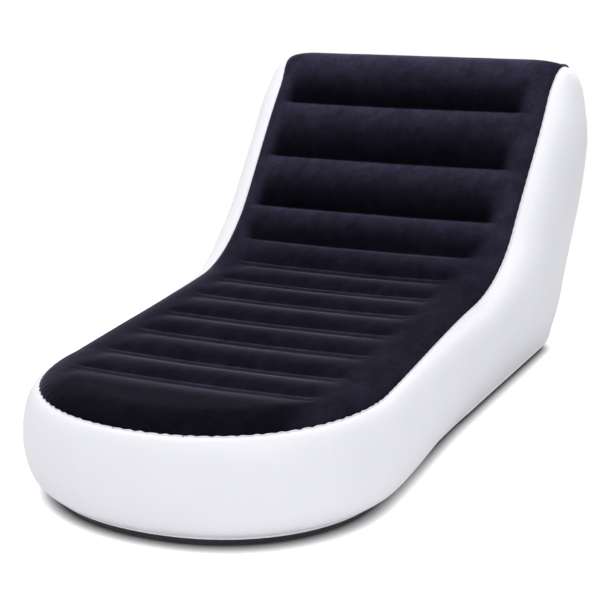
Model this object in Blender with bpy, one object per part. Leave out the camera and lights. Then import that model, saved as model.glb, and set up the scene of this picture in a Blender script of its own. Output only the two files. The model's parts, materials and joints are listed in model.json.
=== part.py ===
"""Inflatable chaise lounge: a flocked top sheet over cross channels, one white side wall that runs round the foot,
a dark base and back, tension beams inside, and a screw valve low on the back. Metres, +Z up, the foot at -Y."""

import math
from collections import namedtuple

import bmesh
import bpy
from mathutils import Matrix, Vector

for old in list(bpy.data.objects):
    bpy.data.objects.remove(old)

MM = 0.001

# Overall size, pumped up, with the valve
LENGTH = 1660 * MM
WIDTH = 917 * MM
HEIGHT = 781 * MM

# Side outline, along the seams
FOOT_RUN = 356 * MM
FOOT_HEIGHT = 227.5 * MM
SEAT_SLOPE = math.radians(4.5)
BEND_RADIUS = 407 * MM
BACK_ANGLE = math.radians(49.4)
TOP_RADIUS = 75 * MM
HEEL_RADIUS = 92 * MM
BASE_HEIGHT = 21 * MM
TOE_INSET = 21 * MM
BASE_INSET = 6 * MM
TIP_ANGLE = math.radians(55)
TIP_RUNG = 5 * MM

# Plan: a superellipse round the foot, then a slight waist
FOOT_POWER = 2.12
FOOT_IN = 13 * MM
WAIST_IN = 20 * MM
BEND_IN = 8 * MM
TIP_IN = 3 * MM
TIP_FLARE = 18 * MM
FLARE_RUN = 170 * MM
WIDTH_SHARES = (0.0, 0.33, 0.6, 0.85, 1.0)

# Side wall: how far it swells past its seams, along the wall
TOE_BULGE = 34 * MM
SHOULDER_BULGE = 50 * MM
WAIST_BULGE = 46 * MM
SEAT_BULGE = 48 * MM
BEND_BULGE = 74 * MM
BACK_BULGE = 85.5 * MM
BULGE_SHARES = (-0.35, 0.0, 0.22, 0.42, 0.6, 0.8)
TAPER_RUN = 240 * MM
TAPER_POWER = 1.25
FULL_CHORD = 200 * MM
WALL_POWER = 0.475
HEM_SHARE = 0.035

# The swell's lean: low round the foot where above 0, close under the top seam at the bend where below 0
LEANS = (0.155, -0.82, 0.06)
LEAN_SHARES = (0.0, 0.5, 0.85)
WALL_SHARES = (0.0, 0.1, 0.3, 0.5, 0.7, 0.9, 1.0)

# Sheets and seams
SHEET = 0.5 * MM
GAP = 0.3 * MM
LIP = 3.4 * MM
LIP_RISE = math.radians(45)
BASE_LIP_DROP = math.radians(12)
FIN = 6 * MM
MERGE = 0.01 * MM
TAB_SHARE = 0.05
SMOOTH_ANGLE = math.radians(35)

# Channels: cross welds as shares of the top sheet, of the floor up to the heel, and of the back sheet above it
SEAT_WELD_SHARES = (0.1275, 0.199, 0.274, 0.344, 0.4175, 0.4865)
BEND_WELD_SHARE = 0.5575
BACK_WELD_SHARES = (0.6205, 0.689, 0.775, 0.8695)
FLOOR_WELD_SHARES = (0.111, 0.207, 0.304, 0.4, 0.484, 0.564, 0.721, 0.896)
REAR_WELD_SHARES = (0.294, 0.493, 0.707)
WELD_WIDTH = 22 * MM
WELD_HALF = 300 * MM
WELD_MARGIN = 24 * MM
TOP_EDGE_RUN = 75 * MM
CREST_EDGE_RUN = 100 * MM
NARROW_RUN = 200 * MM
BASE_EDGE_RUN = 45 * MM
WELD_FADE = 30 * MM
BORDER_SHARE = 0.2
CROWN_FADE = 80 * MM
TOP_LIFT = 26 * MM
TOP_SAG = 5 * MM
SEAT_CROWN = 6 * MM
BACK_CROWN = 22 * MM
CREST_CROWN = -11 * MM
CREST_FALL = 240 * MM
CREST_RUN = 60 * MM
END_CHANNEL = 70 * MM
FLOOR_GROOVE = 5 * MM
REAR_GROOVE = 10 * MM
GROOVE_RUN = 45 * MM
CROWN_POWER = 0.75
EDGE_POWER = 0.52

# Mesh density
FOOT_STEPS = 12
SIDE_STEPS = (5, 8, 5, 5)
HEEL_STEPS = 5
CORNER_STEPS = 6
CAP_SHARES = (0.7, 0.38)
COLUMN_SHARES = (0.0, 0.5, 0.9)
EDGE_SHARE = 0.5
TURN_STEPS = 36
TIP_ROW = 6 * MM
SEAT_ROW = 44 * MM
BACK_ROW = 34 * MM
FLOOR_ROW = 60 * MM
REAR_ROW = 40 * MM

# Valve, outwards from the back sheet's outer face, at a share of that sheet's height over the heel
VALVE_SHARE = 0.142
PAD_HALF = 36 * MM
PAD_FADE = 20 * MM
FLANGE_R = 28 * MM
FLANGE_T = 1.2 * MM
COLLAR_R = 17 * MM
COLLAR_OUT = 3.2 * MM
COLLAR_IN = 9.5 * MM
HOLE_CLEARANCE = 0.4 * MM
SCREW_R = 13.2 * MM
SCREW_CLEARANCE = 0.3 * MM
SCREW_IN = 9 * MM
BORE_R = 9.5 * MM
SEAT_R = 7 * MM
SEAT_T = 1.5 * MM
RIM_R = 19 * MM
RIM_T = 2.5 * MM
RIM_FLUTE = 0.7 * MM
FLUTE_STEPS = 3
STUD_RISE = 0.5 * MM
FLAP_R = 8.6 * MM
FLAP_T = 0.8 * MM
FLAP_CUT = 7.8 * MM
LEDGE_OUT = 2.6 * MM
LEDGE_WIDTH = 9 * MM
LEDGE_DEPTH = 2 * MM
CAP_R = 12.8 * MM
CAP_T = 1.5 * MM
CAP_CUT = 12.2 * MM
PLUG_R = 9 * MM
PLUG_IN = 1.5 * MM
PLUG_WALL = 1.2 * MM
TAB_OUT = 4 * MM
TAB_WIDTH = 6 * MM
TAB_T = 1 * MM
STRAP_WIDTH = 5 * MM
STRAP_T = 0.8 * MM
STRAP_END = 18 * MM
STUD_R = 1.2 * MM
STUD_AT = 16 * MM
EYE_CLEARANCE = 0.3 * MM
RING_WALL = 1.7 * MM
RING_LOW = 1.8 * MM
RING_HIGH = 3.2 * MM
LEASH_OUT = 24 * MM
LEASH_TOP = 5.2 * MM
LEASH_T = 1 * MM
LEASH_WIDTH = 6 * MM
BITE = 0.5 * MM

# Heights of the valve's faces over the back sheet
FLANGE_TOP = GAP + FLANGE_T
RIM_LOW = COLLAR_OUT + GAP
RIM_TOP = RIM_LOW + RIM_T
CAP_LOW = RIM_TOP + GAP
VALVE_OUT = CAP_LOW + CAP_T
FLAP_TOP = -SCREW_IN - GAP


def clamp(share):
    return min(max(share, 0.0), 1.0)


def eased(place, places, values):
    """A value read along a line, level at each named place."""
    for low, high, first, last in zip(places, places[1:], values, values[1:]):
        if place <= high:
            t = clamp((place - low) / (high - low))
            return first + (last - first) * t * t * (3 - 2 * t)
    return values[-1]


def rounded(share, power):
    """Rises from 0 to 1 like the flank of a blown-up tube."""
    return (1 - (1 - clamp(share)) ** 2) ** power


def swell(v, lean):
    upright = 1 - math.exp((v - 1) / HEM_SHARE)
    return (4 * v * (1 - v)) ** WALL_POWER * upright * (1 + lean * (2 * v - 1))


def reach(bulge, lean, inset):
    """How far the wall's outer face stands out past its top seam."""
    return max(bulge * swell(v, lean) - inset * v for v in WALL_SHARES) + SHEET / 2


def crest_lift(run):
    """Height of the top sheet over the plane of its seams, at a run short of the tip."""
    crown = eased(run, (0, CREST_FALL), (CREST_CROWN, BACK_CROWN))
    return (TOP_LIFT + crown) * rounded(run / CREST_RUN, EDGE_POWER)


# Points of the side outline
TIP_Y = -LENGTH / 2 + reach(TOE_BULGE, LEANS[0], TOE_INSET)
FOOT_Y = TIP_Y + FOOT_RUN
PAD_Y = LENGTH / 2 - VALVE_OUT
REAR_Y = PAD_Y - BASE_HEIGHT
CREST_TURNS = [math.radians(turn) for turn in range(0, 90, 5)]
CREST_RISE = max((TOP_RADIUS + crest_lift(TOP_RADIUS * turn)) * math.sin(TIP_ANGLE + turn) for turn in CREST_TURNS)
CREST_RISE -= TOP_RADIUS
TOP_Z = HEIGHT - CREST_RISE - SHEET / 2
BACK_HALF = WIDTH / 2 - reach(BACK_BULGE, LEANS[-1], BASE_INSET)
HALF_WIDTHS = (BACK_HALF - FOOT_IN, BACK_HALF - WAIST_IN, BACK_HALF - BEND_IN, BACK_HALF, BACK_HALF - TIP_IN)
BULGES = (TOE_BULGE, SHOULDER_BULGE, WAIST_BULGE, SEAT_BULGE, BEND_BULGE, BACK_BULGE)
TOE_SHARE = BULGE_SHARES[0]

Point = namedtuple("Point", "y z normal")
Station = namedtuple("Station", "top base out up down")


def arc(centre_y, centre_z, radius, start, end, steps):
    """Points of an arc in the side view, with normals away from its centre."""
    turned = [start + (end - start) * k / steps for k in range(steps + 1)]
    return [Point(centre_y + radius * math.cos(t), centre_z + radius * math.sin(t),
                  Vector((0, math.cos(t), math.sin(t)))) for t in turned]


def line(first, last, steps, normal):
    return [Point(first[0] + (last[0] - first[0]) * k / steps,
                  first[1] + (last[1] - first[1]) * k / steps, normal) for k in range(steps + 1)]


def side_curves():
    """Front curve over seat and back, and rear curve over floor and heel, matched point for point up to the tip."""
    slope, back = SEAT_SLOPE, BACK_ANGLE
    seat_steps, bend_steps, back_steps, top_steps = SIDE_STEPS
    middle = (REAR_Y - TOP_RADIUS, TOP_Z - TOP_RADIUS)
    on_back = (middle[0] - TOP_RADIUS * math.sin(back), middle[1] + TOP_RADIUS * math.cos(back))
    rise = on_back[1] - FOOT_HEIGHT - (on_back[0] - FOOT_Y) * math.tan(slope)
    down = rise / (math.sin(back) - math.cos(back) * math.tan(slope))
    corner = (on_back[0] - down * math.cos(back), on_back[1] - down * math.sin(back))
    tangent = BEND_RADIUS * math.tan((back - slope) / 2)
    bend_start = (corner[0] - tangent * math.cos(slope), corner[1] - tangent * math.sin(slope))
    bend_middle = (bend_start[0] - BEND_RADIUS * math.sin(slope), bend_start[1] + BEND_RADIUS * math.cos(slope))
    quarter = math.pi / 2
    half_rung = TIP_RUNG / TOP_RADIUS / 2

    seat = line((FOOT_Y, FOOT_HEIGHT), bend_start, seat_steps, Vector((0, -math.sin(slope), math.cos(slope))))
    bend = [Point(p.y, p.z, -p.normal) for p in
            arc(*bend_middle, BEND_RADIUS, slope - quarter, back - quarter, bend_steps)]
    back_line = line((bend[-1].y, bend[-1].z), on_back, back_steps, Vector((0, -math.sin(back), math.cos(back))))
    crest = arc(*middle, TOP_RADIUS, back + quarter, TIP_ANGLE + half_rung, top_steps)
    front = seat + bend[1:] + back_line[1:] + crest[1:]

    floor = line((FOOT_Y, BASE_HEIGHT), (bend_start[0], BASE_HEIGHT), seat_steps, Vector((0, 0, -1)))
    heel_y = REAR_Y - HEEL_RADIUS
    under = line((bend_start[0], BASE_HEIGHT), (heel_y, BASE_HEIGHT), bend_steps - HEEL_STEPS, Vector((0, 0, -1)))
    heel = arc(heel_y, BASE_HEIGHT + HEEL_RADIUS, HEEL_RADIUS, -quarter, 0, HEEL_STEPS)
    rear = line((REAR_Y, BASE_HEIGHT + HEEL_RADIUS), (REAR_Y, middle[1]), back_steps, Vector((0, 1, 0)))
    nape = arc(*middle, TOP_RADIUS, 0, TIP_ANGLE - half_rung, top_steps)
    return front, floor + under[1:] + heel[1:] + rear[1:] + nape[1:]


def make_stations():
    """Seam stations of the +X side, from the middle of the foot to the tip at the top corner."""
    front, rear = side_curves()
    runs = [0.0]
    for a, b in zip(front, front[1:]):
        runs.append(runs[-1] + math.hypot(b.y - a.y, b.z - a.z))
    found = []
    power = 2 / FOOT_POWER
    half = HALF_WIDTHS[0]
    for k in range(FOOT_STEPS):
        turn = math.pi / 2 * (1 - k / FOOT_STEPS)
        c, s = max(math.cos(turn), 0.0), math.sin(turn)
        if k == 0:
            c = 0.0
        top = Vector((half * c ** power, FOOT_Y - FOOT_RUN * s ** power, FOOT_HEIGHT))
        out = Vector((c ** (2 - power) / half, -s ** (2 - power) / FOOT_RUN, 0)).normalized()
        base = top - out * eased(k, (0, FOOT_STEPS), (TOE_INSET, BASE_INSET))
        base.z = BASE_HEIGHT
        found.append(Station(top, base, out, Vector((0, 0, 1)), Vector((0, 0, -1))))
    for a, b, run in zip(front, rear, runs):
        half = eased(run / runs[-1], WIDTH_SHARES, HALF_WIDTHS)
        half += eased(runs[-1] - run, (0, FLARE_RUN), (TIP_FLARE, 0.0))
        found.append(Station(Vector((half, a.y, a.z)), Vector((half - BASE_INSET * clamp(
            math.hypot(a.y - b.y, a.z - b.z) / FULL_CHORD), b.y, b.z)), Vector((1, 0, 0)), a.normal, b.normal))
    return found


STATIONS = make_stations()
SIDE_START = FOOT_STEPS
HEEL_STATION = SIDE_START + SIDE_STEPS[0] + SIDE_STEPS[1]


class Panel:
    """A sheet's surface over its seams: x runs across, s along its middle from the foot."""

    def __init__(self, upper):
        self.upper = upper
        self.points = [s.top if upper else s.base for s in STATIONS]
        self.normals = [s.up if upper else s.down for s in STATIONS]
        first_rise = LIP_RISE if upper else BASE_LIP_DROP
        self.lips, self.sides = [], []
        for k, station in enumerate(STATIONS):
            rise = eased(k, (SIDE_START, HEEL_STATION), (first_rise, LIP_RISE))
            normal = self.normals[k]
            self.lips.append(station.out * math.cos(rise) + normal * math.sin(rise))
            self.sides.append(normal * math.cos(rise) - station.out * math.sin(rise))
        self.runs = [p.y - self.points[0].y for p in self.points[:SIDE_START + 1]]
        for a, b in zip(self.points[SIDE_START:], self.points[SIDE_START + 1:]):
            self.runs.append(self.runs[-1] + math.hypot(b.y - a.y, b.z - a.z))
        self.tip = self.runs[-1] + TIP_RUNG / 2
        if upper:
            self.welds = [share * self.tip for share in (*SEAT_WELD_SHARES, BEND_WELD_SHARE, *BACK_WELD_SHARES)]
        else:
            floor, heel = self.runs[HEEL_STATION - HEEL_STEPS], self.runs[HEEL_STATION]
            self.welds = [share * floor for share in FLOOR_WELD_SHARES]
            self.welds += [heel + share * (self.tip - heel) for share in REAR_WELD_SHARES]

    def turned_runs(self):
        """Runs of the stations where the seam turns outwards, so that rows meet the wall's own corners."""
        first = HEEL_STATION + SIDE_STEPS[2] if self.upper else HEEL_STATION - HEEL_STEPS
        return self.runs[first:-1] + [self.tip - TIP_ROW]

    def between(self, s):
        """The two stations on either side of a run, and the share of the way between them."""
        k = 0
        while k < len(self.runs) - 2 and self.runs[k + 1] < s:
            k += 1
        return k, (s - self.runs[k]) / (self.runs[k + 1] - self.runs[k])

    def seam(self, s, station=None):
        """The seam's point, lip direction and side direction, at a run or at a part of a station."""
        if station is None:
            k, t = self.between(s)
        else:
            k = min(int(station), len(self.runs) - 2)
            t = station - k
        return tuple(row[k].lerp(row[k + 1], t) for row in (self.points, self.lips, self.sides))

    def middle(self, s):
        """The middle line's point and normal."""
        if s < self.runs[SIDE_START]:
            start = self.points[0]
            return Vector((0, start.y + s, start.z)), self.normals[0]
        k, t = self.between(s)
        point = self.points[k].lerp(self.points[k + 1], t)
        point.x = 0
        return point, self.normals[k].lerp(self.normals[k + 1], t).normalized()

    def half(self, s):
        return self.seam(s)[0].x

    def weld_half(self, s):
        return min(WELD_HALF, self.half(s) - WELD_MARGIN)

    def edge_distance(self, x, s):
        """Distance from the seam, measured square to it."""
        foot = self.runs[SIDE_START]
        ahead = max(foot - s, 0.0) / foot
        across = abs(x) / (self.half(s) if s > foot else self.points[SIDE_START].x)
        level = (across ** FOOT_POWER + ahead ** FOOT_POWER) ** (1 / FOOT_POWER)
        if level == 0:
            return foot
        half = self.half(max(s, foot))
        slope = math.hypot((across / level) ** (FOOT_POWER - 1) / half, (ahead / level) ** (FOOT_POWER - 1) / foot)
        return max(1 - level, 0.0) / slope

    def edge_run(self, s):
        """How far in from the seam the sheet rises to its full height."""
        if not self.upper:
            return BASE_EDGE_RUN
        return eased(s, (self.tip - NARROW_RUN, self.tip), (TOP_EDGE_RUN, CREST_EDGE_RUN))

    def crown(self, s):
        """Height of a channel over the ends of its welds."""
        bend_start = self.runs[SIDE_START + SIDE_STEPS[0]]
        bend_end = self.runs[HEEL_STATION]
        if not self.upper:
            return eased(s, (bend_start, bend_end), (FLOOR_GROOVE, REAR_GROOVE))
        return eased(s, (bend_start, bend_end, self.tip - CREST_FALL, self.tip),
                     (SEAT_CROWN, BACK_CROWN, BACK_CROWN, CREST_CROWN))

    def rise(self, s):
        """0 on a weld, 1 at the top of a channel."""
        margin = WELD_WIDTH / 2
        distance = max(min(abs(s - weld) for weld in self.welds) - margin, 0.0)
        run = END_CHANNEL
        for low, high in zip(self.welds, self.welds[1:]):
            if low < s < high:
                run = (high - low) / 2 - margin
        if not self.upper:
            run = min(run, GROOVE_RUN)
        return rounded(distance / run, CROWN_POWER)

    def height(self, x, s):
        """Height of the sheet over the plane of its seams."""
        crown = self.crown(s)
        weld = self.weld_half(min(max(s, self.welds[0]), self.welds[-1]))
        inside = 1 - clamp((abs(x) - weld * COLUMN_SHARES[-1]) / WELD_FADE)
        sag = TOP_SAG * (1 - min(abs(x) / weld, 1) ** 2) if self.upper else 0
        full = BASE_HEIGHT - SHEET / 2
        if self.upper:
            if crown > 0:
                crown *= eased(weld - abs(x), (0, CROWN_FADE), (BORDER_SHARE, 1.0))
            full = TOP_LIFT + crown
        depth = (crown + sag) * inside * (1 - self.rise(s))
        if not self.upper and s > self.runs[HEEL_STATION]:
            far = max(abs(x), abs(self.middle(s)[0].z - VALVE_Z)) - PAD_HALF
            depth *= clamp(far / PAD_FADE)
        tall = (full - depth) * rounded(self.edge_distance(x, s) / self.edge_run(s), EDGE_POWER)
        if self.upper:
            tall *= rounded((self.tip - s) / CREST_RUN, EDGE_POWER)
        return tall

    def point(self, x, s):
        middle, normal = self.middle(s)
        return middle + Vector((x, 0, 0)) + normal * self.height(x, s)

    def weld_columns(self, s):
        """Places across, from the middle to the end of a weld."""
        weld = self.weld_half(min(max(s, self.welds[0]), self.welds[-1]))
        return [share * weld for share in COLUMN_SHARES]

    def columns(self, s):
        """Places across, from the middle to the seam."""
        inner, half = self.weld_columns(s), self.half(s)
        if not self.upper:
            inner.insert(1, PAD_HALF)
        return inner + [inner[-1] + (half - inner[-1]) * EDGE_SHARE, half]


TOP = Panel(True)
BASE = Panel(False)
HEEL_RUN = BASE.runs[HEEL_STATION]
VALVE_RISE = VALVE_SHARE * (BASE.tip - HEEL_RUN)
VALVE_Z = BASE_HEIGHT + HEEL_RADIUS + VALVE_RISE
VALVE_FRAME = Matrix.Translation((0, PAD_Y, VALVE_Z)) @ Matrix.Rotation(-math.pi / 2, 4, "X")


def material(name, colour, roughness, metallic=0.0):
    made = bpy.data.materials.new(name)
    made.use_nodes = True
    shader = made.node_tree.nodes["Principled BSDF"]
    shader.inputs["Base Color"].default_value = (*colour, 1)
    shader.inputs["Roughness"].default_value = roughness
    shader.inputs["Metallic"].default_value = metallic
    return made


def add_object(name, mesh_data, look):
    made = bpy.data.objects.new(name, mesh_data)
    bpy.context.scene.collection.objects.link(made)
    made.data.materials.append(look)
    return made


def finish_mesh(bm, name, look):
    data = bpy.data.meshes.new(name)
    bm.to_mesh(data)
    bm.free()
    made = add_object(name, data, look)
    data.shade_smooth()
    data.set_sharp_from_angle(angle=SMOOTH_ANGLE)
    return made


def grid_mesh(points, left_out=()):
    """A grid of faces through rows of points, without the faces named by row and column."""
    rows, columns = len(points) - 1, len(points[0]) - 1
    bm = bmesh.new()
    bmesh.ops.create_grid(bm, x_segments=columns, y_segments=rows, size=1)
    gone = []
    for face in bm.faces:
        middle = face.calc_center_median()
        place = (int((middle.y + 1) / 2 * rows), int((middle.x + 1) / 2 * columns))
        if place in left_out:
            gone.append(face)
    for vert in bm.verts:
        row, column = round((vert.co.y + 1) / 2 * rows), round((vert.co.x + 1) / 2 * columns)
        vert.co = points[row][column]
    bmesh.ops.delete(bm, geom=gone, context="FACES")
    bmesh.ops.remove_doubles(bm, verts=bm.verts, dist=MERGE)
    return bm


def thicken(made, thickness):
    wall = made.modifiers.new("thickness", "SOLIDIFY")
    wall.thickness = thickness
    wall.offset = 0
    wall.use_even_offset = True
    return made


def mirrored(row):
    """A whole row, from -X to +X, out of its half from the middle to +X."""
    return [Vector((-p.x, p.y, p.z)) for p in reversed(row[1:])] + row


def seam_end(point, lip, side):
    """The last two points of a row: on the seam, and at the edge of its lip."""
    start = point + side * (SHEET + GAP) / 2
    return [start, start + lip * LIP]


def straight_row(panel, s):
    inner = [panel.point(x, s) for x in panel.columns(s)[:-1]]
    return inner + seam_end(*panel.seam(min(s, panel.runs[-1])))


def cap_row(panel, share, first):
    """A row of the rounded foot end, from the first weld at 0 to the toe at 1."""
    toe_run = panel.points[CORNER_STEPS].y - panel.points[0].y
    columns = panel.columns(first)
    half = columns[-1]
    end_run = first + share * (toe_run - first)
    end = panel.seam(end_run)
    row = []
    for x in columns[:-1]:
        t = x / half
        toe = panel.seam(0, CORNER_STEPS * t)[0]
        run = (1 - share) * first + share * (toe.y - panel.points[0].y)
        straight = (1 - share) * half + share * panel.points[CORNER_STEPS].x
        across = (1 - share) * x + share * toe.x + t * (end[0].x - straight)
        row.append(panel.point(across, run))
    return row + seam_end(*end)


def toe_rows(panel, first):
    """The lip round the toe, and the toe's seam, between the foot's two corners."""
    columns = panel.columns(first)
    ends = [seam_end(*panel.seam(0, CORNER_STEPS * x / columns[-1])) for x in columns]
    edge, lip = [end[0] for end in ends], [end[1] for end in ends]
    return [lip + [lip[-1]], edge + [lip[-1]]]


def row_runs(panel, start, end, step, extra=()):
    """Runs of a sheet's rows: both edges of each weld, each station where the outline turns outwards,
    and even steps between them."""
    marks = {start, end, *extra, *panel.turned_runs()}
    for weld in panel.welds:
        marks |= {weld - WELD_WIDTH / 2, weld + WELD_WIDTH / 2}
    marks = sorted(mark for mark in marks if start <= mark <= end)
    runs = [start]
    for low, high in zip(marks, marks[1:]):
        count = max(round((high - low) / step(low)), 1)
        runs += [low + (high - low) * i / count for i in range(1, count + 1)]
    return runs


def fin_rows(panel, s, inward):
    """The edge of a cross seam, half a gap short of the neighbouring sheet, and the hidden fin
    that turns from it into the chamber."""
    step = WELD_WIDTH / 2
    along = (panel.middle(s + step * inward)[0] - panel.middle(s)[0]).normalized()
    normal = panel.middle(s)[1]
    edge = [p + along * (SHEET + GAP) / 2 for p in straight_row(panel, s)]
    return edge, [p - normal * FIN for p in edge]


def sheet(name, panel, start, end, step, look, extra=()):
    """A thin sheet over a panel. It starts round the toe where start is None, and otherwise with a fin."""
    first = panel.welds[0] - WELD_WIDTH / 2 if start is None else start
    rows = [straight_row(panel, s) for s in row_runs(panel, first, end, step, extra)]
    if start is None:
        rows = toe_rows(panel, first) + [cap_row(panel, share, first) for share in CAP_SHARES] + rows
    else:
        edge, fin = fin_rows(panel, start, 1)
        rows[0:1] = [fin, edge]
    edge, fin = fin_rows(panel, end, -1)
    rows[-1:] = [edge, fin]
    points = [mirrored(row) for row in rows]
    if not panel.upper:
        points = [row[::-1] for row in points]
    last, edge = len(points) - 2, len(points[0]) - 2
    left_out = {(last, 0), (last, 1), (last, edge - 1), (last, edge), (0, 0), (0, edge)}
    if start is not None:
        left_out |= {(0, 1), (0, edge - 1)}
    return thicken(finish_mesh(grid_mesh(points, left_out), name, look), SHEET)


def side_wall(look):
    """One band from top corner to top corner round the foot, with a lip along each edge."""
    rows = []
    for k, station in enumerate(STATIONS):
        place = (k / SIDE_START - 1) * -TOE_SHARE
        if k > SIDE_START:
            place = (TOP.runs[k] - TOP.runs[SIDE_START]) / (TOP.runs[-1] - TOP.runs[SIDE_START])
        lean = eased(place, LEAN_SHARES, LEANS)
        bulge = eased(place, BULGE_SHARES, BULGES) * rounded((TOP.tip - TOP.runs[k]) / TAPER_RUN, TAPER_POWER)
        half_gap = (SHEET + GAP) / 2
        top = station.top - TOP.sides[k] * half_gap
        base = station.base - BASE.sides[k] * half_gap
        row = [top + TOP.lips[k] * LIP]
        row += [top.lerp(base, v) + station.out * bulge * swell(v, lean) for v in WALL_SHARES]
        rows.append(row + [base + BASE.lips[k] * LIP])
    points = [[Vector((-p.x, p.y, p.z)) for p in row] for row in reversed(rows[1:])] + rows
    return thicken(finish_mesh(grid_mesh(points), "side_wall", look), SHEET)


def weld_tab(panel, weld):
    """Both edges of a tab that lies inside a weld strip, from its middle to its end."""
    low, high = weld - WELD_WIDTH / 2, weld + WELD_WIDTH / 2
    normal = panel.middle(weld)[1]
    sides = []
    for share in (TAB_SHARE, 1 - TAB_SHARE):
        half = [panel.point(x, low).lerp(panel.point(x, high), share) - normal * (SHEET + GAP)
                for x in panel.weld_columns(weld)]
        sides.append(mirrored(half))
    return sides


def beam(name, top_weld, base_weld, look):
    """A tension beam: a strip from a top weld to a base weld, with a tab folded over at each end."""
    top_free, top_fold = weld_tab(TOP, top_weld)
    base_free, base_fold = weld_tab(BASE, base_weld)
    return thicken(finish_mesh(grid_mesh([top_free, top_fold, base_fold, base_free]), name, look), SHEET)


def set_on_valve(bm, name, look, axis_y=0.0, axis_z=0.0):
    """A piece of the valve, made about the valve's own axis and placed by a point of its joint's axis."""
    bmesh.ops.translate(bm, verts=bm.verts, vec=(0, -axis_y, -axis_z))
    made = finish_mesh(bm, name, look)
    made.matrix_world = VALVE_FRAME @ Matrix.Translation((0, axis_y, axis_z))
    return made


def turned(profile):
    """A closed profile of radius and height, turned about the valve's axis."""
    bm = bmesh.new()
    corners = [bm.verts.new((radius, 0, high)) for radius, high in profile]
    edges = [bm.edges.new(pair) for pair in zip(corners, corners[1:] + corners[:1])]
    bmesh.ops.spin(bm, geom=corners + edges, cent=(0, 0, 0), axis=(0, 0, 1), angle=2 * math.pi,
                   steps=TURN_STEPS, use_merge=True)
    bmesh.ops.remove_doubles(bm, verts=bm.verts, dist=MERGE)
    bmesh.ops.recalc_face_normals(bm, faces=bm.faces)
    return bm


def cut_flat(bm, y):
    """Cuts a turned piece off square at its hinge."""
    everything = bm.verts[:] + bm.edges[:] + bm.faces[:]
    cut = bmesh.ops.bisect_plane(bm, geom=everything, plane_co=(0, y, 0), plane_no=(0, -1, 0), clear_outer=True)
    edges = [part for part in cut["geom_cut"] if isinstance(part, bmesh.types.BMEdge)]
    bmesh.ops.edgeloop_fill(bm, edges=edges)
    bmesh.ops.recalc_face_normals(bm, faces=bm.faces)


def block(low, high):
    bm = bmesh.new()
    size = [b - a for a, b in zip(low, high)]
    bmesh.ops.create_cube(bm, size=1)
    bmesh.ops.scale(bm, verts=bm.verts, vec=size)
    bmesh.ops.translate(bm, verts=bm.verts, vec=[(a + b) / 2 for a, b in zip(low, high)])
    return bm


def rod(radius, y, low, high):
    bm = bmesh.new()
    bmesh.ops.create_cone(bm, cap_ends=True, segments=TURN_STEPS, radius1=radius, radius2=radius, depth=high - low)
    bmesh.ops.translate(bm, verts=bm.verts, vec=(0, y, (low + high) / 2))
    return bm


def combine(made, bm, operation):
    """Adds or cuts a helper shape, which stays hidden."""
    helper = set_on_valve(bm, made.name + "_" + operation.lower(), made.data.materials[0])
    helper.hide_render = True
    helper.display_type = "WIRE"
    step = made.modifiers.new(operation.lower(), "BOOLEAN")
    step.operation = operation
    step.object = helper


def valve_base(look):
    bore, collar = SCREW_R + SCREW_CLEARANCE, COLLAR_R
    profile = [(bore, COLLAR_OUT), (collar, COLLAR_OUT), (collar, FLANGE_TOP), (FLANGE_R, FLANGE_TOP),
               (FLANGE_R, GAP), (collar, GAP), (collar, -COLLAR_IN), (bore, -COLLAR_IN)]
    set_on_valve(turned(profile), "valve_base", look)


def valve_insert(look):
    """The screwed insert: fluted rim, bore, flap seat, a ledge that carries the flap and a stud for the strap."""
    profile = [(BORE_R, RIM_TOP), (RIM_R, RIM_TOP), (RIM_R, RIM_LOW), (SCREW_R, RIM_LOW), (SCREW_R, -SCREW_IN),
               (SEAT_R, -SCREW_IN), (SEAT_R, SEAT_T - SCREW_IN), (BORE_R, SEAT_T - SCREW_IN)]
    bm = turned(profile)
    for vert in bm.verts:
        radius = math.hypot(vert.co.x, vert.co.y)
        step = round(math.atan2(vert.co.y, vert.co.x) / (2 * math.pi) * TURN_STEPS)
        if radius > RIM_R - MERGE and step % FLUTE_STEPS == 0:
            vert.co.xy *= 1 - RIM_FLUTE / RIM_R
    made = set_on_valve(bm, "valve_insert", look)
    ledge_y = FLAP_CUT + GAP
    combine(made, block((-LEDGE_WIDTH / 2, -ledge_y - LEDGE_OUT, -SCREW_IN - LEDGE_DEPTH),
                        (LEDGE_WIDTH / 2, -ledge_y, BITE - SCREW_IN)), "UNION")
    stud = rod(STUD_R, -STUD_AT, RIM_TOP - BITE, CAP_LOW + STRAP_T + STUD_RISE)
    combine(made, stud, "UNION")


def valve_flap(look):
    profile = [(0, FLAP_TOP), (FLAP_R, FLAP_TOP), (FLAP_R, FLAP_TOP - FLAP_T), (0, FLAP_TOP - FLAP_T)]
    bm = turned(profile)
    cut_flat(bm, -FLAP_CUT)
    set_on_valve(bm, "valve_flap", look, -FLAP_CUT - GAP / 2, FLAP_TOP - FLAP_T)


def valve_cap(look):
    """The stopper: a disc with a hollow plug under it and a tab to pull it by."""
    plug_low, plug_in = RIM_TOP - PLUG_IN, PLUG_R - PLUG_WALL
    profile = [(0, VALVE_OUT), (CAP_R, VALVE_OUT), (CAP_R, CAP_LOW), (PLUG_R, CAP_LOW), (PLUG_R, plug_low),
               (plug_in, plug_low), (plug_in, CAP_LOW), (0, CAP_LOW)]
    bm = turned(profile)
    cut_flat(bm, -CAP_CUT)
    made = set_on_valve(bm, "valve_cap", look, -CAP_CUT - GAP / 2, VALVE_OUT)
    tab = block((-TAB_WIDTH / 2, CAP_R - BITE, CAP_LOW), (TAB_WIDTH / 2, CAP_R + TAB_OUT, CAP_LOW + TAB_T))
    combine(made, tab, "UNION")


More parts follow.
